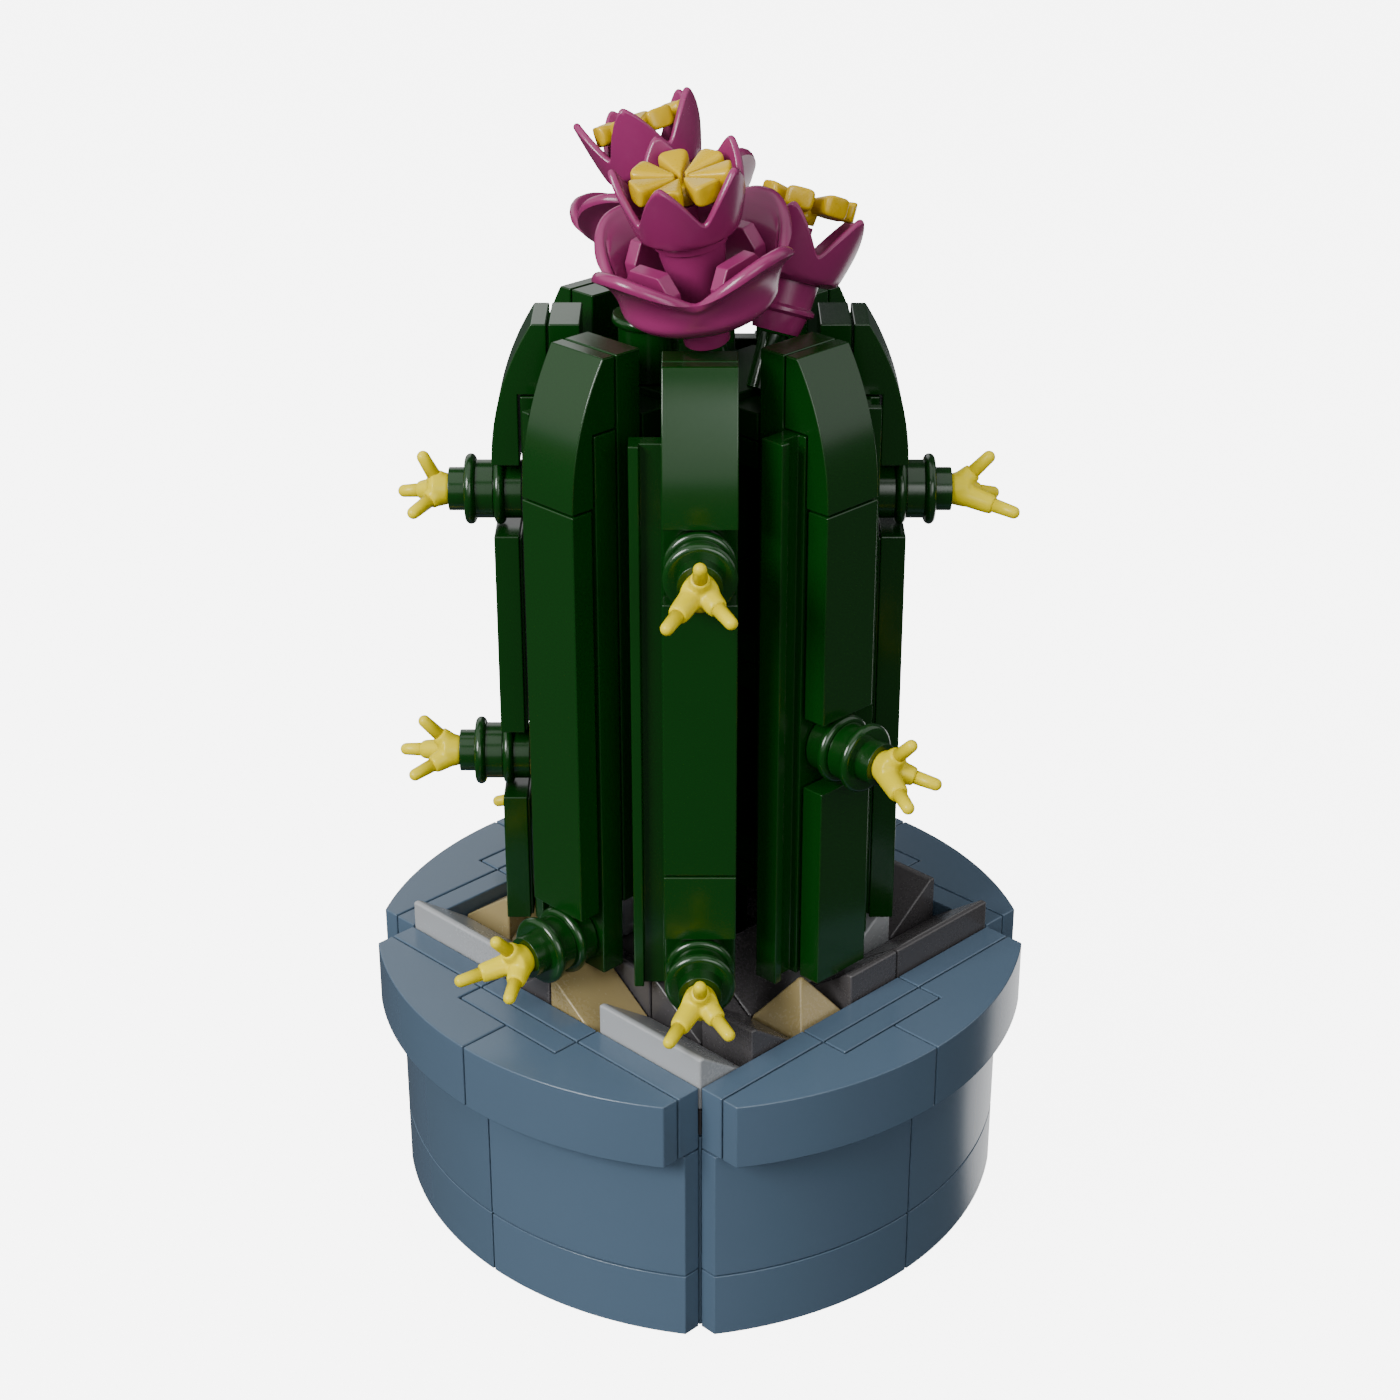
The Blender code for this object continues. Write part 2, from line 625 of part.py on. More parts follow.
def skirt_line(angle, tips):
    """Points of (radius, height) up the skirt's outside at one angle, from its stub to its lip."""
    step = 2 * math.pi / SKIRT_PETALS
    tip = tips[round(angle / step) % SKIRT_PETALS]
    off = abs(2 * ((angle / step + 0.5) % 1.0 - 0.5))
    rise = 1.0 - off ** LIP_RISE_SHARP
    lip = (
        SKIRT_NOTCH_R + (tip - SKIRT_NOTCH_R) * (1.0 - off ** LIP_REACH_SHARP),
        SKIRT_NOTCH_TALL + (SKIRT_TIP_TALL - SKIRT_NOTCH_TALL) * rise,
    )
    share = 1.0 - off ** WALL_SHARP
    corner_r, waist_r = (low + (high - low) * share for high, low in (SKIRT_CORNER_R, SKIRT_WAIST_R))
    corner = (corner_r, SKIRT_CORNER_TALL)
    stub = (STEM_R + MM, SKIRT_LOW)
    points = [bend(stub, (corner_r, SKIRT_UNDER_TALL), corner, level) for level in UNDER_LEVELS]
    return points + [bend(corner, (waist_r, SKIRT_WAIST_TALL), lip, level) for level in WALL_LEVELS]


def skirt_column(angle, tips):
    """Skirt's profile at one angle, from its inner middle over its lip and down its outside."""
    outside = skirt_line(angle, tips)
    inside = []
    for index, (radius, height) in enumerate(outside):
        share = min(1.0, index / SKIRT_FLOOR_POINTS)
        inside.append((radius - SKIRT_WALL * share, height + SKIRT_WALL * (1.0 - share)))
    middle = (0, SKIRT_LOW + SKIRT_WALL)
    return [middle] + inside + outside[::-1] + [(STEM_R, SKIRT_LOW), (STEM_R, 0), (0, 0)]


def lofted(name, columns):
    """A closed solid through columns of (radius, height) at even angles that share their first and last point."""
    bm = bmesh.new()
    count = len(columns)
    rows = []
    for level, (radius, height) in enumerate(columns[0]):
        if level in (0, len(columns[0]) - 1):
            rows.append([bm.verts.new((0, 0, height))] * count)
            continue
        row = []
        for index, column in enumerate(columns):
            angle = 2 * math.pi * index / count
            radius, height = column[level]
            row.append(bm.verts.new((radius * math.cos(angle), radius * math.sin(angle), height)))
        rows.append(row)
    for upper, lower in zip(rows, rows[1:]):
        for index in range(count):
            after = (index + 1) % count
            corners = (upper[index], lower[index], lower[after], upper[after])
            bm.faces.new(list(dict.fromkeys(corners)))
    return object_from(bm, name)


def petal_skirt(name, tips):
    """Wide dish of four broad flared petals on a short round stub, with four short petals inside."""
    steps = 8 * SKIRT_PETALS
    pieces = [lofted(name, [skirt_column(2 * math.pi * index / steps, tips) for index in range(steps)])]
    low = INNER_PETAL_LOW
    half = INNER_PETAL_HALF
    shoulder = INNER_PETAL_TOP - INNER_PETAL_CORNER
    outline = [(-half, low), (half, low), (half, shoulder), (0.6 * half, INNER_PETAL_TOP),
               (-0.6 * half, INNER_PETAL_TOP), (-half, shoulder)]
    for index in range(SKIRT_PETALS):
        inner = extruded(name, outline, -INNER_PETAL_THICK / 2, INNER_PETAL_THICK / 2)
        upright = Matrix(((0, 0, 1, INNER_PETAL_R), (1, 0, 0, 0), (0, 1, 0, 0), (0, 0, 0, 1)))
        pieces.append(move(inner, turn(360 * index / SKIRT_PETALS) @ upright))
    return union(name, pieces)


def flower_centre(name):
    """Seven thick petals that rise a little outwards from a dimple, on a hub."""
    step = 2 * math.pi / CENTRE_PETALS
    edge = CENTRE_BEVEL
    petal = [(share, reach * CENTRE_R) for share, reach in CENTRE_CORNERS]
    narrow = [(CENTRE_NARROW * share, radius - edge) for share, radius in petal]
    wide = [(CENTRE_NOTCH, CENTRE_NOTCH_R)] + petal
    narrow_high = [(CENTRE_NOTCH, CENTRE_NOTCH_R - edge)] + narrow
    dimple = CENTRE_TALL - CENTRE_DIMPLE
    # Corners of a petal as (share of a step, radius), then the height of the notch and of the petal
    levels = (
        (wide[:1] + narrow, 0.0, 0.0),
        (wide, edge, edge),
        (wide, CENTRE_TALL - edge, CENTRE_TALL - edge),
        (narrow_high, dimple, CENTRE_TALL),
    )
    bm = bmesh.new()
    rings = []
    for corners, notch_height, height in levels:
        ring = []
        for index in range(CENTRE_PETALS):
            for share, radius in corners:
                angle = (index + share) * step
                z = notch_height if share == CENTRE_NOTCH else height
                ring.append(bm.verts.new((radius * math.cos(angle), radius * math.sin(angle), z)))
        rings.append(ring)
    count = len(rings[0])
    under = bm.verts.new((0, 0, 0))
    top = bm.verts.new((0, 0, dimple))
    for index in range(count):
        after = (index + 1) % count
        for lower, upper in zip(rings, rings[1:]):
            bm.faces.new((lower[index], lower[after], upper[after], upper[index]))
        bm.faces.new((rings[0][after], rings[0][index], under))
        bm.faces.new((rings[-1][index], rings[-1][after], top))
    petals = object_from(bm, name)
    hub = cone(name, 0.85 * CENTRE_HUB_R, CENTRE_HUB_R, -CENTRE_HUB, SUNK, 14)
    return union(name, [petals, hub], "MANIFOLD")


def build():
    remove_everything()
    cactus = new_collection("potted_column_cactus")
    green = plastic("dark_green", GREEN)
    blue = plastic("blue_grey", BLUE_GREY)
    magenta = plastic("magenta", MAGENTA)
    yellow = plastic("yellow", YELLOW)
    pale = plastic("pale_yellow", PALE_YELLOW)
    grey = plastic("stone_grey", STONE_GREY)
    here = Matrix.Identity(4)

    # Pot
    placed(tub(), "pot_core", cactus, blue, here)
    for name, low, high in POT_BANDS:
        side = band_side(name, low, high)
        for index in range(4):
            piece = side if index == 0 else copy_of(side)
            placed(piece, f"{name}_{index + 1}", cactus, blue, turn(45 + 90 * index))
    plates = rim_plates("rim_plates")
    slopes = (rim_slope("rim_slope", False), rim_slope("rim_slope", True))
    for index in range(4):
        piece = plates if index == 0 else copy_of(plates)
        placed(piece, f"rim_plates_{index + 1}", cactus, blue, turn(45 + 90 * index))
        for side, slope in zip(("right", "left"), slopes):
            piece = slope if index == 0 else copy_of(slope)
            placed(piece, f"rim_slope_{index + 1}_{side}", cactus, blue, turn(45 + 90 * index))
    placed(stone_bed(), "stone_bed", cactus, grey, turn(-45))

    # Cactus
    placed(trunk(), "trunk", cactus, green, here)
    back = rib_back()
    usual_prong = prong()
    prongs = 0
    for index, (azimuth, tiles, areoles) in enumerate(FACES):
        piece = back if index == 0 else copy_of(back)
        placed(piece, f"rib_back_{index + 1}", cactus, green, turn(azimuth))
        placed(rib_face(tiles, areoles), f"rib_face_{index + 1}", cactus, green, turn(azimuth))
        for height in areoles:
            if (azimuth, height) == PUSHED_IN_AT:
                piece = prong(PUSHED_IN)
            else:
                piece = usual_prong if prongs == 0 else copy_of(usual_prong)
            prongs += 1
            placed(piece, f"prong_{prongs}", cactus, pale, outward(azimuth, height * MM))

    # Flowers
    for letter, flower, skirt_turn, tips, stem, drop in (
        ("a", FLOWER_A, SKIRT_TURN_A, SKIRT_TIPS_A, CONE_STEM, CENTRE_DROP),
        ("b", FLOWER_B, SKIRT_TURN_B, SKIRT_TIPS_B, CONE_STEM, CENTRE_DROP),
        ("c", FLOWER_C, None, None, BARREL_STEM, CENTRE_DROP_C),
    ):
        frame = flower_frame(flower)
        _, _, petal_turn, length = flower
        if tips is not None:
            skirt = petal_skirt("flower_skirt", tips)
            placed(skirt, f"flower_{letter}_skirt", cactus, magenta, frame @ turn(skirt_turn))
        post = CUP_TALL - drop - CENTRE_HUB - SEAT
        cup = petal_cup("flower_cup", post, stem)
        cup_foot = Matrix.Translation((0, 0, length * MM - CUP_TALL))
        placed(cup, f"flower_{letter}_cup", cactus, magenta, frame @ cup_foot @ turn(petal_turn))
        centre_foot = Matrix.Translation((0, 0, length * MM - drop))
        placed(flower_centre("flower_centre"), f"flower_{letter}_centre", cactus, yellow, frame @ centre_foot)

    for obj in cactus.objects:
        if obj.name.startswith(("prong", "flower", "rib_face")):
            obj.data.shade_smooth()
            obj.data.set_sharp_from_angle(angle=math.radians(40))


build()
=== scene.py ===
# Looks of a toy column cactus made of interlocking bricks, in a round blue-grey pot.
# Shapes are modelled in millimetres in the frame's own axes. A finished piece is brought to metres.
import math

import bmesh
import bpy
from mathutils import Matrix, Vector


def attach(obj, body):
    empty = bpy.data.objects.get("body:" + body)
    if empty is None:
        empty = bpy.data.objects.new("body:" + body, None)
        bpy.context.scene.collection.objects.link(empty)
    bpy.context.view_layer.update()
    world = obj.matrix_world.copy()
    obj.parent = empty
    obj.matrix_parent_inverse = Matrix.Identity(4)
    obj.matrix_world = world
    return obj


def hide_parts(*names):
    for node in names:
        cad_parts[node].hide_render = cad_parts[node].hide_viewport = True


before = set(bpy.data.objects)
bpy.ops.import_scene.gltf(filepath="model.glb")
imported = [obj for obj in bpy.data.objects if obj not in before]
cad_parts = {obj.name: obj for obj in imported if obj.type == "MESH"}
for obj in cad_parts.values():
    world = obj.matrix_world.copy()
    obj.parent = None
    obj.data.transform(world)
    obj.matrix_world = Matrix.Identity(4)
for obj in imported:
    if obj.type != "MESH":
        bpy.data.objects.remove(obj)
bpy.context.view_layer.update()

MM = 0.001
SQUARE = math.sqrt(2)    # distance of a square's corner, over half its width

# Camera of the photograph, in mm and degrees
LENS = 68.23
SENSOR = 36.0
CAMERA_TARGET = (0.0, 0.0, 61.54)
CAMERA_DISTANCE = 301.17
CAMERA_ELEVATION = 25.763

# Brick system
MODULE = 8.0
PLATE = 3.2
CLEAR = 0.1              # play on each side of every brick
SEAT = 0.25              # gap between a piece and what holds it

# Rounding: widths, segments, and the angle in degrees from which an edge is rounded
EDGE = 0.16
STONE_EDGE = 0.3
AREOLE_EDGE = 0.14
TURNED_EDGE = 0.12
EDGE_SEGMENTS = 3
EDGE_ANGLE = 32

# Pot
CORE_HALF = 3 * MODULE
POT_BANDS = (("lower_band", 0.0, MODULE), ("upper_band", MODULE, 3 * MODULE))
RIM_LOW = 3 * MODULE
RIM_TOP = 4 * MODULE
RIM_OUT = PLATE
BAND_BULGE = 9.6         # how far the middle of a side stands out from the core
SIDE_THIN = 2.1          # how far the end of a side does
SIDE_HALF = 3 * MODULE   # length of each of the two slopes that make a side
SIDE_POINTS = 32
SEAM_DEEP = 0.6
SEAM_STRIP = 0.9 * CLEAR
TUB_FLOOR = PLATE
BED_LOW = 25.6
BED_TOP = 28.8
SIDES = tuple(45 + 90 * index for index in range(4))

# Stones and their deck
STONE_TOP = 35.2
STONE_LOW = 30.1         # where a stone's slope ends
STONE_LIP = 0.7          # flat strip at a stone's top
DECK_SHADE = 0.7

# Trunk
TRUNK_HALF = MODULE
FOOT_HALF = 0.5 * MODULE
TRUNK_LOW = 43.2
TRUNK_TOP = 100.8
TRUNK_BRICK = 3 * PLATE
COLLAR_REACH = 12.3
COLLARS = (43.2, 68.0, 93.6)
# Painted shade: the hidden trunk bricks get a darker green than the ribs, standing in for the shadow that the
# flowers and ribs cast on them
INNER_PAINTED_SHADE = 0.6

# Ribs: radius of each layer, from the inside out, and heights
RIB_HALF = 0.5 * MODULE - CLEAR
LAYERS = (12.6, 16.0, 19.2, 22.4)
FACE_SEAT = LAYERS[2] + CLEAR + CLEAR / 2
UPPER_SEAT = LAYERS[1] + CLEAR + CLEAR / 2
RAIL_OUT = 7.3           # how far the side rail reaches from the rib's middle
RAIL_LIP = 1.1
RAIL_FLOOR = 18.1        # radius of the rail's floor
RIB_LOW = 35.2
INNER_LOW = 43.2
RAIL_TOP = 99.2
SLOPE_LOW = 91.2
RIB_TOP = 107.2
SLOPE_RADIUS = 29.6
SLOPE_START = 0.2        # in degrees
SLOPE_POINTS = 36
TILE_GROOVE = 0.3

# Areoles: round plates with a lip, and an open stud in front
BODY_R = 3.2
FLAT_R = BODY_R - 0.2    # flat middle of a round plate
FLANGE_R = 3.875
FLANGE_HALF = 0.6
STUD_R = 2.375
STUD_HOLE_R = 1.6
STUD_TALL = 1.8
STUD_SUNK = 0.4
STUD_TOP = LAYERS[3] + PLATE + STUD_TALL
AREOLE_STEPS = 48
STUD_STEPS = 40

# Prongs: the palm as (radius, height over the stud), and each finger's angle in degrees with its tip's
# distance from the prong's axis and from the trunk's
PALM = ((0, 2.3), (1.5, 2.2), (2.05, 1.7), (1.9, 0.9), (1.72, 0.1), (1.55, 0), (1.55, -1.5), (0, -1.5))
PALM_STEPS = 32
FINGERS = ((90, 3.67, 31.4), (205, 3.57, 34.0), (332, 3.46, 32.4))
FINGER_ROOT = (0.75, 1.2)           # distance from the prong's axis, and height over the stud
FINGER_RADII = (1.3, 1.12, 1.0)     # at its root, at its shoulder and at the foot of its thin end
FINGER_SHOULDER = 0.5
FINGER_SUNK = 0.3
FINGER_STEPS = 24
FINGER_BALL = 0.7
FINGER_END = 2.3                    # length of the thin end
FINGER_END_SUNK = 0.2
FINGER_END_FOOT_R = 1.12 * FINGER_BALL
FINGER_END_STEPS = 20
PRONG_VOXEL = 0.16
PRONG_SMOOTHING = 9
# One prong is pushed deeper into its stud: how far, and its azimuth and height
PUSHED_IN = 1.3
PUSHED_IN_AT = (-90, 87.2)

# What stands on each rib's face: azimuth in degrees, tiles (low, high) and heights of the areoles
FACES = (
    (0, ((51.2, 83.2), (43.2, 51.2)), (87.2, 39.2)),
    (45, ((67.2, 91.2), (35.2, 59.2)), (63.2,)),
    (90, ((35.2, 83.2),), (87.2,)),
    (135, ((83.2, 91.2), (35.2, 75.2)), (79.2,)),
    (180, ((51.2, 83.2), (35.2, 43.2)), (87.2, 47.2)),
    (-135, ((43.2, 91.2),), (39.2,)),
    (-90, ((59.2, 83.2), (35.2, 51.2)), (87.2, 55.2)),
    (-45, ((43.2, 91.2),), (39.2,)),
)
AZIMUTHS = tuple(azimuth for azimuth, _, _ in FACES)

# Pegs under the flowers, and an unused round cup with its inside as (radius, height from its top)
PEG_R = 1.55
PEG_STEPS = 32
PEG_SUNK = 1.0
PEG_A = (0.75, -10.8)
PEG_A_TOP = 107.4
SPARE_CUP = (-5.45, -2.0)
SPARE_CUP_TOP = 107.8
SPARE_CUP_INSIDE = ((0, -1.5), (STUD_R, -1.5), (2.6, -1.3), (2.75, 0), (FLANGE_R - CLEAR, 0))

# Flowers: foot of the stem, lean to -X and to -Y in degrees, turn of the petals, length to the petal tips
FLOWERS = {
    "a": ((0.75, -12.0, 108.0), (8.55, 9.6), -107.6, 19.95),
    "b": ((-0.9, 8.0, 108.0), (18.3, -12.1), 191.0, 19.95),
    "c": ((7.9, -2.8, 106.0), (-14.9, -17.2), -107.5, 13.3),
}
# A rounded lip, in degrees from its inner side to its outer one
LIP_ARC = (150, 120, 90, 60, 30)
NOTCH_ROUND = 0.1        # share of half a petal over which the notch between two is rounded

# Cups, and their stems as (radius, height from the cup's foot)
CUP_PETALS = 5
CUP_STEPS = 28           # in a petal
CUP_LEVELS = 14
CUP_TALL = 7.8
CUP_VALLEY = 3.1
CUP_BASE_R = 4.9
CUP_TIP_R = 7.1
CUP_WALL = 0.8
CUP_FLARE = 0.75
CUP_SHARP = 1.2          # how sharply a petal ends
CUP_BLUNT = 0.05         # share of half a petal over which its tip is rounded
CUP_FOOT_IN = 0.9        # how far the foot is drawn in, and over what height
CUP_FOOT_TALL = 0.7
POST_R = 1.2
NECK_R = 3.4
STEM_R = 2.4
CONE_STEM = (
    (NECK_R + 0.5, 0), (NECK_R + 0.4, -0.85), (NECK_R, -0.95), (NECK_R, -1.95),
    (STEM_R, -7.1), (STEM_R, -8.1),
)
BARREL_STEM = (
    (3.3, 0), (3.1, -2.5), (3.3, -2.6), (3.6, -2.8), (3.6, -3.2), (3.3, -3.4), (3.0, -3.5), (2.5, -5.5),
)
STEMS = {"a": CONE_STEM, "b": CONE_STEM, "c": BARREL_STEM}

# Skirts: turn in degrees and radius of each petal's tip, and the stub below as (radius, height)
SKIRTS = {"a": (44.1, (11.0, 11.0, 11.1, 11.1)), "b": (57.0, (11.0, 11.0, 11.0, 11.0))}
SKIRT_PETALS = 4
SKIRT_STEPS = 32         # in a petal
SKIRT_LOW = 2.2
SKIRT_STUB = ((STEM_R, SKIRT_LOW - 0.05), (STEM_R, 0.15), (STEM_R - 0.15, 0))
SKIRT_ROOT_R = STEM_R + 1
SKIRT_WALL = 0.9
SKIRT_LIP = 0.5          # how far the lip is rolled outwards, over how many points
SKIRT_LIP_POINTS = 5
SKIRT_UNDER_POINTS = 8
SKIRT_WALL_POINTS = 12
SKIRT_BLUNT = 0.3
SKIRT_CREASE = 45        # in degrees, from which an edge is left sharp
# How sharply a petal ends: its lip's height, its lip's radius and the wall below it
LIP_RISE_SHARP = 1.25
LIP_REACH_SHARP = 1.43
WALL_SHARP = 1.8
# Heights of the lip on a petal and in a notch, with the notch's radius, and of the turns under the wall
SKIRT_TIP_TALL = 11.6
SKIRT_NOTCH_R = 8.9
SKIRT_NOTCH_TALL = 8.1
SKIRT_UNDER_TALL = 4.2
SKIRT_CORNER_TALL = 5.6
# For a petal and for a notch: radius at the wall's corner and at its waist, and height of the waist
SKIRT_CORNER_R = (8.4, 8.0)
SKIRT_WAIST_R = (7.8, 8.6)
SKIRT_WAIST_TALL = (8.25, 7.0)
INNER_PETAL_R = 6.1
INNER_PETAL_LOW = 4.7
INNER_PETAL_HALF = 3.3
INNER_PETAL_TOP = 10.6
INNER_PETAL_TOP_HALF = 0.6 * INNER_PETAL_HALF
INNER_PETAL_CORNER = 2.0
INNER_PETAL_THICK = 1.6

# Yellow centres
CENTRE_DROPS = {"a": 2.9, "b": 2.9, "c": 0.2}    # from the tips of the cup's petals
CENTRE_PETALS = 7
CENTRE_STATIONS = 26
CENTRE_SIDES = 28
CENTRE_R = 5.1
CENTRE_TURN = -5.0
CENTRE_LOW = -0.4
CENTRE_TALL = 2.3
CENTRE_DIMPLE = 0.8
CENTRE_INNER_R = 0.8
CENTRE_POINT = 0.02      # how far a petal's inner end stands before its first ring
CENTRE_GAP_INSIDE = 0.12
CENTRE_GAP = 0.55        # what the gap between two petals grows by, and how fast
CENTRE_GAP_GROWTH = 1.3
CENTRE_SHOULDER = 0.72   # share of the radius from which a petal is rounded off
# How bluntly a petal ends, across and in height, and how round its section is, from 0 for square to 1
CENTRE_BLUNT = (4, 9)
CENTRE_ROUND = (0.42, 0.48)
CENTRE_HUB = 1.6
CENTRE_HUB_R = 1.4
CENTRE_HUB_FOOT_R = 0.85 * CENTRE_HUB_R
CENTRE_HUB_STEPS = 32

# Colours, as linear red, green and blue
DARK_GREEN = (0.0022, 0.030, 0.0022)
BLUE_GREY = (0.066, 0.103, 0.150)
MAGENTA = (0.225, 0.020, 0.100)
YELLOW = (0.56, 0.36, 0.0)
PALE_YELLOW = (0.68, 0.55, 0.0)
STONE_COLOURS = {
    "light_grey": (0.30, 0.31, 0.32),
    "dark_grey": (0.058, 0.054, 0.056),
    "tan": (0.29, 0.225, 0.10),
    "dark_tan": (0.11, 0.085, 0.035),
}

# Skin of moulded plastic: cells of its ripple and grain in a metre, and what each adds
RIPPLE_SCALE = 90.0
GRAIN_SCALE = 2600.0
NOISE_DETAIL = 2.0
BRICK_TONE = 0.55
RIPPLE_TONE = 0.35
GRAIN_TONE = 0.1
DARKEST = 0.9
LIGHTEST = 1.1
RIPPLE_ROUGHNESS = 0.05
GRAIN_ROUGHNESS = 0.03
RIPPLE_RELIEF = 0.5
GRAIN_RELIEF = 0.002
RELIEF_STRENGTH = 0.35
RELIEF_DEPTH = 0.05 * MM

# Studio, in metres and watts: each light's name, place, size and power
LIGHTS = (
    ("key", (-0.6, -0.55, 0.55), (0.4, 0.4), 12.0),
    ("front_wide", (0.0, -0.95, 0.42), (1.3, 0.75), 2.7),
    ("front_fill", (0.45, -0.9, 0.5), (0.8, 0.5), 4.2),
    ("overhead", (-0.05, -0.12, 0.85), (1.0, 0.9), 3.4),
    ("left_high", (-0.85, 0.1, 0.55), (0.8, 1.0), 2.2),
    ("right_high", (0.85, 0.1, 0.55), (0.8, 1.0), 2.4),
    ("back_wall", (-0.6, 1.3, 0.65), (1.4, 0.9), 4.2),
    ("right_glow", (0.5, 0.75, -0.36), (0.6, 0.5), 1.5),
)
LIGHTS_TARGET = (0, 0, 0.07)
FLOOR_SIZE = 60.0
FLOOR_HEIGHT = -0.0002
FLOOR_PAPER = {
    "Base Color": (0.3, 0.3, 0.3, 1),
    "Roughness": 0.9,
    "Specular IOR Level": 0.1,
    "Emission Color": (1, 1, 1, 1),
    "Emission Strength": 6.5,
}
SKY = {"Color": (0.9, 0.95, 1.0, 1), "Strength": 0.08}
CAMERA_NEAR = 0.01


# Nodes

class Value:
    """A number on one socket of a node tree, used in ordinary arithmetic."""

    def __init__(self, tree, socket):
        self.tree = tree
        self.socket = socket

    def with_maths(self, operation, first, second):
        made = self.tree.nodes.new("ShaderNodeMath")
        made.operation = operation
        feed(self.tree, made.inputs[0], first)
        feed(self.tree, made.inputs[1], second)
        return Value(self.tree, made.outputs[0])

    def __add__(self, other):
        return self.with_maths("ADD", self, other)

    def __radd__(self, other):
        return self.with_maths("ADD", other, self)

    def __sub__(self, other):
        return self.with_maths("SUBTRACT", self, other)

    def __rsub__(self, other):
        return self.with_maths("SUBTRACT", other, self)

    def __mul__(self, other):
        return self.with_maths("MULTIPLY", self, other)

    def __rmul__(self, other):
        return self.with_maths("MULTIPLY", other, self)


def feed(tree, socket, value):
    if isinstance(value, Value):
        tree.links.new(value.socket, socket)
    else:
        socket.default_value = value


def node(tree, kind, settings=None, output=0, **inputs):
    """Add a node: its settings first, then the values or links of its sockets."""
    made = tree.nodes.new(kind)
    for name, value in (settings or {}).items():
        setattr(made, name, value)
    for name, value in inputs.items():
        feed(tree, made.inputs[name.replace("_", " ")], value)
    return Value(tree, made.outputs[output])


def mixed(tree, share, first, second):
    """A colour between two colours."""
    made = tree.nodes.new("ShaderNodeMix")
    made.data_type = "RGBA"
    feed(tree, made.inputs[0], share)
    feed(tree, made.inputs[6], (*first, 1.0))
    feed(tree, made.inputs[7], (*second, 1.0))
    return Value(tree, made.outputs[2])


# Finishes

def shade(colour, factor):
    return tuple(min(1.0, channel * factor) for channel in colour)


def noise(tree, place, scale):
    return node(tree, "ShaderNodeTexNoise", Vector=place, Scale=scale, Detail=NOISE_DETAIL)


def moulded_plastic(name, colour, roughness, index=1.53):
    """Moulded plastic: a faintly rippled skin, fine grain, and a tone that differs from brick to brick."""
    material = bpy.data.materials.new(name)
    material.use_nodes = True
    tree = material.node_tree
    shader = tree.nodes["Principled BSDF"]
    place = node(tree, "ShaderNodeTexCoord", output="Object")
    brick = node(tree, "ShaderNodeNewGeometry", output="Random Per Island")
    ripple = noise(tree, place, RIPPLE_SCALE)
    grain = noise(tree, place, GRAIN_SCALE)
    share = brick * BRICK_TONE + ripple * RIPPLE_TONE + grain * GRAIN_TONE
    tone = mixed(tree, share, shade(colour, DARKEST), shade(colour, LIGHTEST))
    feed(tree, shader.inputs["Base Color"], tone)
    smoothest = roughness - (RIPPLE_ROUGHNESS + GRAIN_ROUGHNESS) / 2
    feed(tree, shader.inputs["Roughness"], smoothest + ripple * RIPPLE_ROUGHNESS + grain * GRAIN_ROUGHNESS)
    relief = node(
        tree, "ShaderNodeBump", Strength=RELIEF_STRENGTH, Distance=RELIEF_DEPTH,
        Height=ripple * RIPPLE_RELIEF + grain * GRAIN_RELIEF, output="Normal",
    )
    feed(tree, shader.inputs["Normal"], relief)
    shader.inputs["IOR"].default_value = index
    return material


# Solids, in mm

def move_new(bm, old_count, matrix):
    """Move the vertices that were added after the first old_count."""
    if matrix is not None:
        verts = list(bm.verts)[old_count:]
        bmesh.ops.transform(bm, matrix=matrix, verts=verts)


def add_block(bm, low, high, matrix=None):
    count = len(bm.verts)
    low = Vector(low)
    high = Vector(high)
    made = bmesh.ops.create_cube(bm, size=1.0)["verts"]
    bmesh.ops.scale(bm, vec=high - low, verts=made)
    bmesh.ops.translate(bm, vec=(low + high) / 2, verts=made)
    move_new(bm, count, matrix)


def add_prism(bm, outline, low, high, matrix=None):
    """A flat outline in X and Y, as a solid from low to high in Z."""
    count = len(bm.verts)
    face = bm.faces.new([bm.verts.new((x, y, low)) for x, y in outline])
    grown = bmesh.ops.extrude_face_region(bm, geom=[face], use_keep_orig=True)["geom"]
    tops = [item for item in grown if isinstance(item, bmesh.types.BMVert)]
    bmesh.ops.translate(bm, vec=(0, 0, high - low), verts=tops)
    move_new(bm, count, matrix)


def add_rings(bm, rings, matrix=None):
    """A closed solid through rings of points, where a ring of one point is a pole."""
    count = len(bm.verts)
    made = [[bm.verts.new(point) for point in ring] for ring in rings]
    for lower, upper in zip(made, made[1:]):
        steps = max(len(lower), len(upper))
        for index in range(steps):
            after = (index + 1) % steps
            corners = []
            for ring, places in ((lower, (index, after)), (upper, (after, index))):
                for place in places:
                    vert = ring[place % len(ring)]
                    if vert not in corners:
                        corners.append(vert)
            bm.faces.new(corners)
    move_new(bm, count, matrix)


def add_turned(bm, profile, steps, matrix=None):
    """A profile of (radius, height) turned about Z."""
    rings = []
    for radius, height in profile:
        if radius == 0:
            rings.append([(0, 0, height)])
        else:
            rings.append([
                (radius * math.cos(math.tau * i / steps), radius * math.sin(math.tau * i / steps), height)
                for i in range(steps)
            ])
    add_rings(bm, rings, matrix)


def add_square(bm, profile):
    """A profile of (half width, height) taken round four flat sides, in the frame of the pot's square."""
    add_turned(bm, [(half * SQUARE, height) for half, height in profile], 4)


def arc(centre, radius, start, end, count):
    """Points on an arc in degrees, both ends included."""
    points = []
    for index in range(count + 1):
        angle = math.radians(start + (end - start) * index / count)
        points.append((centre[0] + radius * math.cos(angle), centre[1] + radius * math.sin(angle)))
    return points


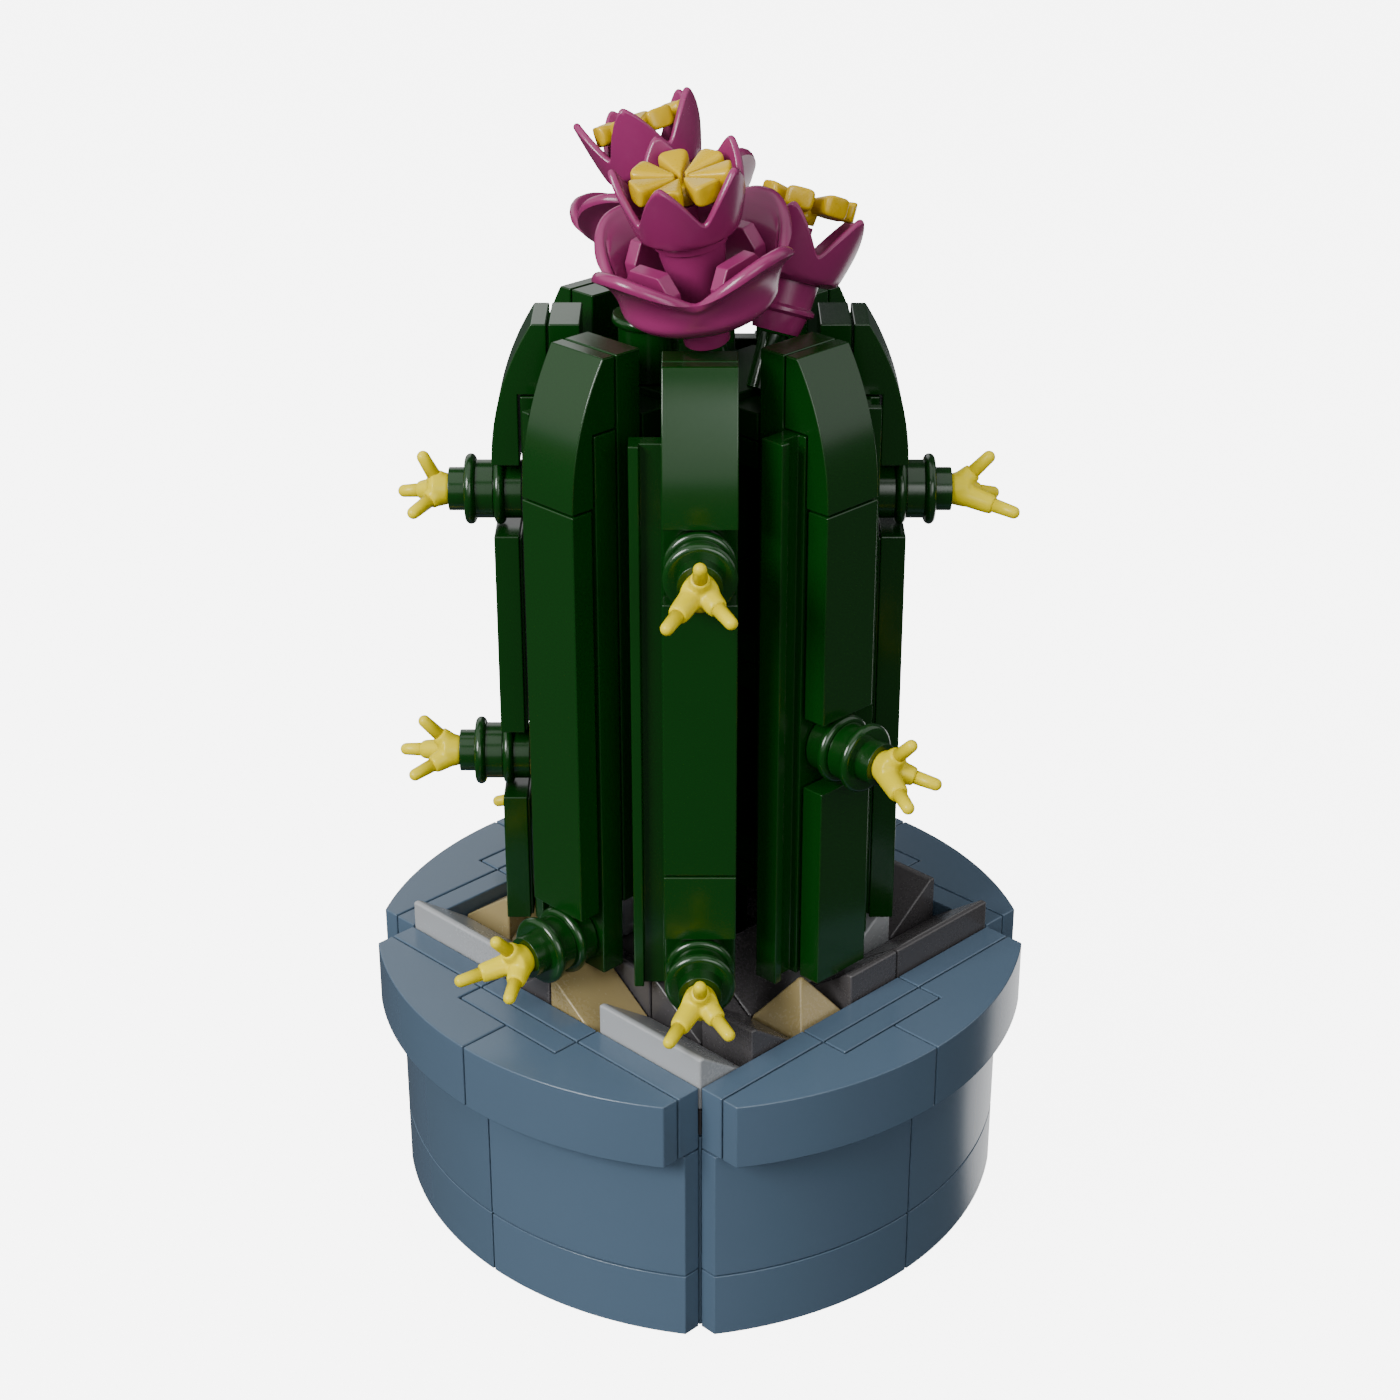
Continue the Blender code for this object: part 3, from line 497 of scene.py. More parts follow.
def bend(first, middle, last, share):
    """Point on the curve that leaves first towards middle, and reaches last from there."""
    rest = 1.0 - share
    weights = (rest * rest, 2 * rest * share, share * share)
    return Vector(tuple(sum(w * p[i] for w, p in zip(weights, (first, middle, last))) for i in range(2)))


def turn(degrees):
    return Matrix.Rotation(math.radians(degrees), 4, "Z")


def aimed(foot, way):
    """Frame on foot whose Z runs the given way."""
    return Matrix.Translation(foot) @ way.to_track_quat("Z", "Y").to_matrix().to_4x4()


# Brings Z to -Y, which is out of the cactus at azimuth 0, and Y to up
UPRIGHT = Matrix.Rotation(math.radians(90), 4, "X")

# In a profile frame, X runs outward from the cactus and Y upward, and the solid is as wide as the rib
PROFILE_FRAME = Matrix(((0, 0, -1, 0), (-1, 0, 0, 0), (0, 1, 0, 0), (0, 0, 0, 1)))


# Pieces

def mould(name, bm, edge=EDGE):
    """Smooth object of a solid, with its sharp edges rounded unless edge is 0."""
    bmesh.ops.recalc_face_normals(bm, faces=bm.faces)
    mesh = bpy.data.meshes.new(name)
    bm.to_mesh(mesh)
    bm.free()
    mesh.shade_smooth()
    obj = bpy.data.objects.new(name, mesh)
    bpy.context.scene.collection.objects.link(obj)
    if edge:
        round_edges(obj, edge)
    return obj


def round_edges(obj, edge):
    bevel = obj.modifiers.new("Rounded edges", "BEVEL")
    bevel.width = edge
    bevel.segments = EDGE_SEGMENTS
    bevel.limit_method = "ANGLE"
    bevel.angle_limit = math.radians(EDGE_ANGLE)
    bevel.harden_normals = True


def plain_mesh(obj):
    bpy.context.view_layer.update()
    depsgraph = bpy.context.evaluated_depsgraph_get()
    return bpy.data.meshes.new_from_object(obj.evaluated_get(depsgraph))


def settle(obj):
    """Make the evaluated shape the object's own."""
    mesh = plain_mesh(obj)
    obj.modifiers.clear()
    obj.data = mesh


def taken_apart(obj):
    """Mesh of an object for further work, with the object removed."""
    bm = bmesh.new()
    bm.from_mesh(obj.data)
    bpy.data.objects.remove(obj, do_unlink=True)
    return bm


def finished(obj, name, finish, nodes):
    """Bring a piece to metres as a plain mesh, and set it on the part in place of its nodes."""
    mesh = plain_mesh(obj)
    mesh.transform(Matrix.Scale(MM, 4) @ obj.matrix_world)
    mesh.name = name
    mesh.materials.clear()
    mesh.materials.append(finish)
    bpy.data.objects.remove(obj, do_unlink=True)
    piece = bpy.data.objects.new(name, mesh)
    bpy.context.scene.collection.objects.link(piece)
    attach(piece, "root")
    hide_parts(*nodes)


def numbered(stem, count):
    return [f"{stem}_{index + 1}" for index in range(count)]


def copies_tree():
    """Geometry nodes: a copy of one piece at each point, turned about Z by the point's own turn."""
    tree = bpy.data.node_groups.new("copies_at_points", "GeometryNodeTree")
    sockets = tree.interface
    sockets.new_socket("Points", in_out="INPUT", socket_type="NodeSocketGeometry")
    sockets.new_socket("Piece", in_out="INPUT", socket_type="NodeSocketObject")
    sockets.new_socket("Finish", in_out="INPUT", socket_type="NodeSocketMaterial")
    sockets.new_socket("Copies", in_out="OUTPUT", socket_type="NodeSocketGeometry")
    given = tree.nodes.new("NodeGroupInput")
    points, piece, finish = (Value(tree, given.outputs[name]) for name in ("Points", "Piece", "Finish"))
    angle = node(tree, "GeometryNodeInputNamedAttribute", {"data_type": "FLOAT"}, Name="turn")
    rotation = node(tree, "ShaderNodeCombineXYZ", Z=angle)
    shape = node(tree, "GeometryNodeObjectInfo", output="Geometry", Object=piece, As_Instance=True)
    placed = node(tree, "GeometryNodeInstanceOnPoints", Points=points, Instance=shape, Rotation=rotation)
    real = node(tree, "GeometryNodeRealizeInstances", Geometry=placed)
    dressed = node(tree, "GeometryNodeSetMaterial", Geometry=real, Material=finish)
    result = tree.nodes.new("NodeGroupOutput")
    feed(tree, result.inputs["Copies"], dressed)
    return tree


def copies(name, piece, places, finish):
    """Copies of a piece at (x, y, z, turn in degrees), with the piece's own rounding on each."""
    mesh = bpy.data.meshes.new(name)
    mesh.from_pydata([place[:3] for place in places], [], [])
    turns = mesh.attributes.new("turn", "FLOAT", "POINT")
    turns.data.foreach_set("value", [math.radians(place[3]) for place in places])
    obj = bpy.data.objects.new(name, mesh)
    bpy.context.scene.collection.objects.link(obj)
    widths = [item.width for item in piece.modifiers if item.type == "BEVEL"]
    piece.modifiers.clear()
    spread = obj.modifiers.new("Copies", "NODES")
    spread.node_group = COPIES
    inputs = {item.name: item.identifier for item in COPIES.interface.items_tree if item.in_out == "INPUT"}
    spread[inputs["Piece"]] = piece
    spread[inputs["Finish"]] = finish
    for width in widths:
        round_edges(obj, width)
    settle(obj)
    bpy.data.objects.remove(piece, do_unlink=True)
    return obj


def around(turns):
    return [(0, 0, 0, degrees) for degrees in turns]


# Pot

def side_arc(middle, end):
    """Convex outer side of half a side of the pot, given how far out its middle and its end are."""
    drop = middle - end
    radius = (SIDE_HALF ** 2 + drop ** 2) / (2 * drop)
    sweep = math.degrees(math.asin((SIDE_HALF - CLEAR) / radius))
    first = math.degrees(math.asin(CLEAR / radius))
    return arc((0.0, radius - middle), radius, -90 + first, -90 + sweep, SIDE_POINTS)


def mirrored(outline):
    return [(-x, y) for x, y in reversed(outline)]


def band_slopes(name, low, high):
    """Two mirrored curved slopes on one side of the pot, with a strip that closes the depth of their seam."""
    inner = -(CORE_HALF + CLEAR)
    right = side_arc(CORE_HALF + BAND_BULGE, CORE_HALF + SIDE_THIN)
    right = [(CLEAR, inner)] + right + [(SIDE_HALF - CLEAR, inner)]
    base = low + (CLEAR if low > 0 else 0)
    bm = bmesh.new()
    for outline in (right, mirrored(right)):
        add_prism(bm, outline, base, high - CLEAR)
    outer = -(CORE_HALF + BAND_BULGE - SEAM_DEEP)
    add_block(bm, (-SEAM_STRIP, outer, base + CLEAR), (SEAM_STRIP, inner - CLEAR, high - 2 * CLEAR))
    return mould(name, bm)


def rim_slopes():
    """Two mirrored curved slopes of the rim, cut back for the second plate."""
    near = -(CORE_HALF + PLATE + CLEAR)
    far = -(CORE_HALF + 2 * PLATE + CLEAR)
    outline = [(MODULE + CLEAR, near), (MODULE + CLEAR, far), (CLEAR, far)]
    outline += side_arc(CORE_HALF + BAND_BULGE + RIM_OUT, CORE_HALF + SIDE_THIN + RIM_OUT)
    outline += [(SIDE_HALF - CLEAR, near)]
    bm = bmesh.new()
    for half in (outline, mirrored(outline)):
        add_prism(bm, half, RIM_LOW + CLEAR, RIM_TOP - CLEAR)
    return mould("rim_slope", bm)


def rim_plates():
    """Three plates in a row and a second one before the middle, set on edge."""
    inner = -(CORE_HALF + CLEAR)
    outer = -(CORE_HALF + PLATE - CLEAR)
    low = RIM_LOW + CLEAR
    high = RIM_TOP - CLEAR
    bm = bmesh.new()
    for start in (-3, -1, 1):
        add_block(bm, (start * MODULE + CLEAR, outer, low), ((start + 2) * MODULE - CLEAR, inner, high))
    add_block(bm, (-MODULE + CLEAR, outer - PLATE, low), (MODULE - CLEAR, outer - 2 * CLEAR, high))
    return mould("rim_plate", bm)


def core_bricks():
    """Square block that the pot's sides are fastened to."""
    half = CORE_HALF - CLEAR
    inside = half - MODULE
    high = BED_LOW - SEAT
    bm = bmesh.new()
    add_square(bm, [(0, TUB_FLOOR), (inside, TUB_FLOOR), (inside, high), (half, high), (half, 0), (0, 0)])
    return mould("core", bm)


def make_pot():
    blue = moulded_plastic("blue_grey_plastic", BLUE_GREY, roughness=0.24)
    finished(core_bricks(), "core_bricks", blue, ["pot_core"])
    for name, low, high in POT_BANDS:
        slopes = copies(name, band_slopes(name, low, high), around(SIDES), blue)
        finished(slopes, name + "_slopes", blue, numbered(name, len(SIDES)))
    plates = copies("rim_plates", rim_plates(), around(SIDES), blue)
    finished(plates, "rim_plates_on_edge", blue, numbered("rim_plates", len(SIDES)))
    slopes = copies("rim_slopes", rim_slopes(), around(SIDES), blue)
    halves = [f"{half}_{side}" for half in numbered("rim_slope", len(SIDES)) for side in ("right", "left")]
    finished(slopes, "rim_slopes", blue, halves)


# Stones in the frame of the pot's square: first column, first row, columns, rows, the direction in degrees
# that the high side faces, or None for a pyramid, and the colour
STONES = (
    (1, -3, 2, 1, 270, "light_grey"), (-3, -3, 2, 1, 270, "light_grey"), (0, -3, 1, 1, 180, "tan"),
    (-1, -3, 1, 1, 0, "dark_grey"), (1, -2, 1, 1, 180, "dark_grey"), (2, -2, 1, 1, 270, "dark_grey"),
    (2, -1, 1, 1, None, "tan"), (2, 0, 1, 1, 0, "dark_grey"), (2, 1, 1, 2, 0, "dark_grey"),
    (1, 1, 1, 1, 90, "light_grey"), (0, 2, 2, 1, 90, "dark_grey"), (-3, -2, 1, 1, 0, "tan"),
    (-2, -2, 1, 1, 90, "dark_tan"), (-1, -2, 2, 1, 270, "dark_grey"), (-3, -1, 1, 1, None, "dark_grey"),
    (-2, -1, 1, 2, 180, "light_grey"), (1, -1, 1, 2, 180, "dark_grey"), (-3, 0, 1, 1, 90, "dark_tan"),
    (-3, 1, 1, 2, 180, "light_grey"), (-2, 1, 1, 1, None, "tan"), (-1, 1, 2, 1, 90, "dark_grey"),
    (-2, 2, 2, 1, 270, "dark_grey"),
)


def add_stone(bm, column, row, columns, rows, high_side):
    low_x = column * MODULE + CLEAR
    low_y = row * MODULE + CLEAR
    high_x = (column + columns) * MODULE - CLEAR
    high_y = (row + rows) * MODULE - CLEAR
    middle = turn(-45) @ Matrix.Translation(((low_x + high_x) / 2, (low_y + high_y) / 2, 0))
    base = BED_TOP + CLEAR / 2
    if high_side is None:
        half = (high_x - low_x) / 2 * SQUARE
        profile = [(0, STONE_TOP), (STONE_LIP / 2, STONE_TOP), (half, STONE_LOW), (half, base), (0, base)]
        add_turned(bm, profile, 4, middle @ turn(45))
        return
    across, along = (high_x - low_x) / 2, (high_y - low_y) / 2
    if high_side in (90, 270):
        across, along = along, across
    outline = [
        (-across, base), (across, base), (across, STONE_TOP), (across - STONE_LIP, STONE_TOP),
        (-across, STONE_LOW),
    ]
    add_prism(bm, outline, -along, along, middle @ turn(high_side) @ UPRIGHT)


def deck_plates():
    """Flat square under the stones, with a hole for the trunk's foot."""
    half = CORE_HALF - CLEAR
    hole = FOOT_HALF + SEAT
    bm = bmesh.new()
    add_square(bm, [(half, BED_LOW), (hole, BED_LOW), (hole, BED_TOP), (half, BED_TOP), (half, BED_LOW)])
    bmesh.ops.remove_doubles(bm, verts=bm.verts, dist=0.001)
    return mould("deck", bm)


def make_stones():
    nodes = ["stone_bed"]
    for colour, linear in STONE_COLOURS.items():
        plastic = moulded_plastic(colour + "_plastic", linear, roughness=0.27)
        bm = bmesh.new()
        for *place, wanted in STONES:
            if wanted == colour:
                add_stone(bm, *place)
        finished(mould(colour, bm, STONE_EDGE), colour + "_stones", plastic, nodes)
    plastic = moulded_plastic("deck_plastic", shade(STONE_COLOURS["dark_grey"], DECK_SHADE), roughness=0.3)
    finished(deck_plates(), "deck_plates", plastic, nodes)


# Cactus body

def trunk_bricks():
    """Foot, stacked bricks of the trunk, and collars of two layers of crossed plates."""
    bm = bmesh.new()
    quarter = turn(45)
    add_block(bm, (-FOOT_HALF, -FOOT_HALF, TUB_FLOOR + SEAT), (FOOT_HALF, FOOT_HALF, TRUNK_LOW), quarter)
    low = TRUNK_LOW
    while TRUNK_TOP - low > PLATE:
        high = min(low + TRUNK_BRICK, TRUNK_TOP)
        corner = (TRUNK_HALF, TRUNK_HALF, high - CLEAR)
        add_block(bm, (-TRUNK_HALF, -TRUNK_HALF, low + CLEAR), corner, quarter)
        low = high
    for collar in COLLARS:
        for base in (collar, collar + PLATE):
            near = (-RIB_HALF, -COLLAR_REACH, base + CLEAR)
            far = (RIB_HALF, -TRUNK_HALF, base + PLATE - CLEAR)
            for azimuth in AZIMUTHS:
                add_block(bm, near, far, turn(azimuth))
    return mould("trunk", bm)


def add_peg(bm, low, high):
    """Round peg between two points."""
    low = Vector(low)
    high = Vector(high)
    length = (high - low).length
    add_turned(bm, [(0, length), (PEG_R, length), (PEG_R, 0), (0, 0)], PEG_STEPS, aimed(low, high - low))


def trunk_fittings():
    """Pegs under the flowers and an unused round cup, on top of the trunk."""
    bm = bmesh.new()
    add_peg(bm, (*PEG_A, TRUNK_TOP), (*PEG_A, PEG_A_TOP))
    for letter in ("b", "c"):
        stem = flower_frame(letter)
        depth = FLOWERS[letter][0][2] - TRUNK_TOP + PEG_SUNK
        add_peg(bm, stem @ Vector((0, 0, -depth)), stem @ Vector((0, 0, -SEAT)))
    top = SPARE_CUP_TOP
    profile = [(radius, top + height) for radius, height in SPARE_CUP_INSIDE]
    profile += arc((FLANGE_R - FLANGE_HALF, top - FLANGE_HALF), FLANGE_HALF, 60, -90, 8)
    profile += [(BODY_R, top - 2 * FLANGE_HALF - CLEAR), (BODY_R, TRUNK_TOP + CLEAR), (0, TRUNK_TOP + CLEAR)]
    add_turned(bm, profile, STUD_STEPS, Matrix.Translation((*SPARE_CUP, 0)))
    return mould("fittings", bm, TURNED_EDGE)


def rib_plates():
    """Inner plate and rail plate of one rib."""
    inner, middle, outer, _ = LAYERS
    edge = RIB_HALF
    rail_inner = -RAIL_OUT + RAIL_LIP
    outline = [
        (-RAIL_OUT, -(middle + CLEAR)), (-RAIL_OUT, -(outer - CLEAR)), (rail_inner, -(outer - CLEAR)),
        (rail_inner, -RAIL_FLOOR), (-edge, -RAIL_FLOOR), (-edge, -(outer - CLEAR)),
        (edge, -(outer - CLEAR)), (edge, -(middle + CLEAR)),
    ]
    bm = bmesh.new()
    add_prism(bm, outline, RIB_LOW + CLEAR, RAIL_TOP - CLEAR)
    add_block(bm, (-edge, -(middle - CLEAR), INNER_LOW + CLEAR), (edge, -inner, RIB_TOP - CLEAR))
    return mould("rib_plate", bm)


def rib_slope():
    """Curved slope at the top of one rib."""
    top = RIB_TOP - CLEAR
    step = RAIL_TOP + CLEAR
    centre = (LAYERS[3] - SLOPE_RADIUS, SLOPE_LOW)
    sweep = math.degrees(math.asin((top - SLOPE_LOW) / SLOPE_RADIUS))
    outline = [(FACE_SEAT, SLOPE_LOW + CLEAR)] + arc(centre, SLOPE_RADIUS, SLOPE_START, sweep, SLOPE_POINTS)
    outline += [(UPPER_SEAT, top), (UPPER_SEAT, step), (FACE_SEAT, step)]
    bm = bmesh.new()
    add_prism(bm, outline, -RIB_HALF, RIB_HALF, PROFILE_FRAME)
    return mould("rib_slope", bm)


def rib_tiles():
    """Flat tiles between the areoles, each with a narrow groove round its foot."""
    waist = FACE_SEAT + TILE_GROOVE
    half = RIB_HALF - TILE_GROOVE
    bm = bmesh.new()
    for azimuth, tiles, _ in FACES:
        for low, high in tiles:
            foot = (half, -FACE_SEAT, high - CLEAR - TILE_GROOVE)
            add_block(bm, (-half, -waist - CLEAR, low + CLEAR + TILE_GROOVE), foot, turn(azimuth))
            back = (RIB_HALF, -waist, high - CLEAR)
            add_block(bm, (-RIB_HALF, -LAYERS[3], low + CLEAR), back, turn(azimuth))
    return mould("tile", bm)


def areole_plates():
    """Two flanged round plates and an open stud, lying along the outward axis."""
    bm = bmesh.new()
    low = FACE_SEAT
    for front in (LAYERS[3], LAYERS[3] + PLATE):
        flat = front - CLEAR / 2
        lip = arc((FLANGE_R - FLANGE_HALF, front - FLANGE_HALF), FLANGE_HALF, 90, -90, 10)
        profile = [(0, flat), (FLAT_R, flat)] + lip
        profile += [(BODY_R, front - 2 * FLANGE_HALF), (BODY_R, low), (0, low)]
        add_turned(bm, profile, AREOLE_STEPS, UPRIGHT)
        low = front + CLEAR / 2
    floor = STUD_TOP - STUD_TALL
    stud = [(0, floor), (STUD_HOLE_R, floor), (STUD_HOLE_R, STUD_TOP), (STUD_R, STUD_TOP)]
    stud += [(STUD_R, floor - STUD_SUNK), (0, floor - STUD_SUNK)]
    add_turned(bm, stud, STUD_STEPS, UPRIGHT)
    return mould("areole", bm, AREOLE_EDGE)


def add_finger(bm, length, matrix):
    """Thick inner length of one finger, tapered from its root."""
    root_r, shoulder_r, end_r = FINGER_RADII
    profile = [(0, length), (end_r, length), (shoulder_r, length - FINGER_SHOULDER), (root_r, 0)]
    add_turned(bm, profile + [(0, -FINGER_SUNK)], FINGER_STEPS, matrix)


def add_finger_end(bm, root, tip, matrix):
    """Thin rounded end of one finger."""
    axis = (tip - root).normalized()
    foot = tip - axis * (FINGER_END + FINGER_END_SUNK)
    length = (tip - foot).length
    profile = [(0, length + FINGER_BALL)] + arc((0, length), FINGER_BALL, 75, 0, 5)
    profile += [(FINGER_END_FOOT_R, 0), (0, 0)]
    add_turned(bm, profile, FINGER_END_STEPS, matrix @ aimed(foot, axis))


def prong(pushed_in):
    """Palm and three inner fingers grown into one form, and a thinner rounded end on each finger."""
    bm = bmesh.new()
    add_turned(bm, [(radius, STUD_TOP + height) for radius, height in PALM], PALM_STEPS)
    out, tall = FINGER_ROOT
    root = Vector((out, 0, STUD_TOP + tall))
    ends = []
    for angle, spread, reach in FINGERS:
        tip = Vector((spread, 0, reach - pushed_in))
        way = tip - root
        add_finger(bm, way.length - FINGER_END, turn(angle) @ aimed(root, way.normalized()))
        ends.append((tip, turn(angle)))
    grown = mould("prong", bm, edge=0)
    remesh = grown.modifiers.new("Grown together", "REMESH")
    remesh.mode = "VOXEL"
    remesh.voxel_size = PRONG_VOXEL
    smooth = grown.modifiers.new("Fillets", "SMOOTH")
    smooth.iterations = PRONG_SMOOTHING
    settle(grown)
    bm = taken_apart(grown)
    for tip, matrix in ends:
        add_finger_end(bm, root, tip, matrix)
    bmesh.ops.transform(bm, matrix=UPRIGHT, verts=bm.verts)
    return mould("prong", bm, edge=0)


def make_prongs(places):
    pale = moulded_plastic("pale_yellow_plastic", PALE_YELLOW, roughness=0.33, index=1.35)
    studs = list(zip(places, numbered("prong", len(places))))
    pushed = [stud for stud in studs if (stud[0][3], stud[0][2]) == PUSHED_IN_AT]
    usual = [stud for stud in studs if stud not in pushed]
    for name, depth, chosen in (("prongs", 0.0, usual), ("prong_pushed_in", PUSHED_IN, pushed)):
        shape = copies(name, prong(depth), [place for place, _ in chosen], pale)
        finished(shape, name, pale, [replaced for _, replaced in chosen])


def make_cactus():
    green = moulded_plastic("dark_green_plastic", DARK_GREEN, roughness=0.2)
    # The trunk bricks' darker green is painted shade, and their damped reflection also stands in for the
    # shadow inside the cactus
    painted_shade_green = moulded_plastic("inner_green_painted_shade_plastic", shade(DARK_GREEN, INNER_PAINTED_SHADE), roughness=0.5, index=1.2)
    faces = numbered("rib_face", len(FACES))
    finished(trunk_bricks(), "trunk_bricks", painted_shade_green, ["trunk"])
    finished(trunk_fittings(), "trunk_fittings", green, ["trunk"])
    plates = copies("rib_plates", rib_plates(), around(AZIMUTHS), green)
    finished(plates, "rib_plates", green, numbered("rib_back", len(FACES)))
    slopes = copies("rib_slopes", rib_slope(), around(AZIMUTHS), green)
    finished(slopes, "rib_slopes", green, faces)
    finished(rib_tiles(), "rib_tiles", green, faces)
    places = [(0, 0, height, azimuth) for azimuth, _, heights in FACES for height in heights]
    finished(copies("areoles", areole_plates(), places, green), "areole_plates", green, faces)
    make_prongs(places)


# Flowers

def flower_frame(letter):
    """Frame on a flower's foot, with Z along its stem and the turn of its petals left out."""
    foot, (lean_x, lean_y), _, _ = FLOWERS[letter]
    axis = Vector((-math.tan(math.radians(lean_x)), -math.tan(math.radians(lean_y)), 1.0)).normalized()
    side = Vector((0, 1, 0)).cross(axis).normalized()
    back = axis.cross(side)
    rows = [(side[i], back[i], axis[i], foot[i]) for i in range(3)]
    return Matrix((*rows, (0, 0, 0, 1)))


def eased(share, rounding):
    """A share of 1 that leaves 0 softly instead of at an angle."""
    return (math.hypot(share, rounding) - rounding) / (math.hypot(1.0, rounding) - rounding)


def petal_off(angle, petals):
    """0 in the middle of a petal, rising to 1 in the rounded notch between two."""
    step = math.tau / petals
    off = abs(2 * ((angle / step + 0.5) % 1.0 - 0.5))
    return 1.0 - eased(1.0 - off, NOTCH_ROUND)


def column_rings(columns, first_pole, last_pole):
    """Rings across columns of (radius, height) at even angles, closed with a pole at each end."""
    count = len(columns)
    rings = [[(0, 0, first_pole)]]
    for level in range(len(columns[0])):
        ring = []
        for index, column in enumerate(columns):
            radius, height = column[level]
            angle = math.tau * index / count
            ring.append((radius * math.cos(angle), radius * math.sin(angle), height))
        rings.append(ring)
    return rings + [[(0, 0, last_pole)]]


def cup_radius(height):
    return CUP_BASE_R + (CUP_TIP_R - CUP_BASE_R) * max(0.0, height / CUP_TALL) ** CUP_FLARE


def cup_column(angle, post, stem):
    """Profile of the cup at one angle: post, inner wall, rounded lip, outer wall, and stem."""
    off = eased(petal_off(angle, CUP_PETALS), CUP_BLUNT)
    rim = CUP_VALLEY + (CUP_TALL - CUP_VALLEY) * (1.0 - off ** CUP_SHARP) - CUP_WALL / 2
    heights = [rim * index / CUP_LEVELS for index in range(CUP_LEVELS + 1)]
    points = [(POST_R, post), (POST_R, CUP_WALL)]
    for height in heights:
        points.append((max(POST_R + CLEAR, cup_radius(height) - CUP_WALL), max(height, CUP_WALL)))
    crown = (cup_radius(rim) - CUP_WALL / 2, rim)
    points += arc(crown, CUP_WALL / 2, LIP_ARC[0], LIP_ARC[-1], len(LIP_ARC) - 1)
    for height in reversed(heights):
        drawn_in = CUP_FOOT_IN * max(0.0, 1 - height / CUP_FOOT_TALL) ** 2
        points.append((cup_radius(height) - drawn_in, height))
    return points + list(stem)


def petal_cup(post, stem):
    """Cup with five pointed petals, with a post inside and a stem below."""
    steps = CUP_STEPS * CUP_PETALS
    columns = [cup_column(math.tau * index / steps, post, stem) for index in range(steps)]
    bm = bmesh.new()
    add_rings(bm, column_rings(columns, post, stem[-1][1]))
    return mould("cup", bm, TURNED_EDGE)


def skirt_line(angle, tips):
    """Points of (radius, height) up the skirt's outside at one angle, from its stub to its lip."""
    step = math.tau / SKIRT_PETALS
    tip = tips[round(angle / step) % SKIRT_PETALS]
    off = petal_off(angle, SKIRT_PETALS)
    blunt = eased(off, SKIRT_BLUNT)
    lip = (
        SKIRT_NOTCH_R + (tip - SKIRT_NOTCH_R) * (1.0 - blunt ** LIP_REACH_SHARP),
        SKIRT_NOTCH_TALL + (SKIRT_TIP_TALL - SKIRT_NOTCH_TALL) * (1.0 - blunt ** LIP_RISE_SHARP),
    )
    share = 1.0 - off ** WALL_SHARP
    corner_r, waist_r, waist_tall = (
        notch + (petal - notch) * share for petal, notch in (SKIRT_CORNER_R, SKIRT_WAIST_R, SKIRT_WAIST_TALL)
    )
    corner = (corner_r, SKIRT_CORNER_TALL)
    root = (SKIRT_ROOT_R, SKIRT_LOW)
    points = []
    for index in range(SKIRT_UNDER_POINTS):
        points.append(bend(root, (corner_r, SKIRT_UNDER_TALL), corner, index / SKIRT_UNDER_POINTS))
    for index in range(SKIRT_WALL_POINTS + 1):
        points.append(bend(corner, (waist_r, waist_tall), lip, index / SKIRT_WALL_POINTS))
    return points


def skirt_column(angle, tips):
    """Skirt's profile at one angle: inside, rounded lip, outside."""
    outside = skirt_line(angle, tips)
    inside = []
    last = len(outside) - 1
    for index, point in enumerate(outside):
        along = (outside[min(index + 1, last)] - outside[max(index - 1, 0)]).normalized()
        inwards = Vector((-along.y, along.x))
        lip = SKIRT_LIP * max(0.0, 1 - (last - index) / SKIRT_LIP_POINTS) ** 2
        outside[index] = point - lip * inwards
        inside.append(point + SKIRT_WALL * inwards)
    middle = (outside[-1] + inside[-1]) / 2
    half = (outside[-1] - inside[-1]).length / 2
    crown = []
    for degrees in LIP_ARC:
        turned_by = math.radians(degrees)
        crown.append(middle + half * (math.sin(turned_by) * along - math.cos(turned_by) * inwards))
    return [tuple(point) for point in inside + crown + outside[::-1]]


def petal_skirt(tips):
    """Wide dish of four broad flared petals on a short round stub."""
    steps = SKIRT_STEPS * SKIRT_PETALS
    columns = [skirt_column(math.tau * index / steps, tips) + list(SKIRT_STUB) for index in range(steps)]
    bm = bmesh.new()
    add_rings(bm, column_rings(columns, SKIRT_LOW + SKIRT_WALL, 0))
    skirt = mould("skirt", bm, edge=0)
    skirt.data.set_sharp_from_angle(angle=math.radians(SKIRT_CREASE))
    return skirt


def inner_petals():
    """Four short upright petals inside a skirt."""
    bm = bmesh.new()
    half = INNER_PETAL_HALF
    top_half = INNER_PETAL_TOP_HALF
    top = INNER_PETAL_TOP
    shoulder = top - INNER_PETAL_CORNER
    outline = [
        (-half, INNER_PETAL_LOW), (half, INNER_PETAL_LOW), (half, shoulder), (top_half, top),
        (-top_half, top), (-half, shoulder),
    ]
    upright = Matrix(((0, 0, 1, INNER_PETAL_R), (1, 0, 0, 0), (0, 1, 0, 0), (0, 0, 0, 1)))
    thick = INNER_PETAL_THICK / 2
    for index in range(SKIRT_PETALS):
        add_prism(bm, outline, -thick, thick, turn(360 * index / SKIRT_PETALS) @ upright)
    return mould("inner_petals", bm)


def signed_power(value, power):
    return math.copysign(abs(value) ** power, value)


def rounded_off(end, blunt):
    """Falls from 1 to 0 as end goes from 0 to 1, and stays near 1 longer where it is blunt."""
    return (1 - min(1.0, end) ** blunt) ** (1 / blunt)


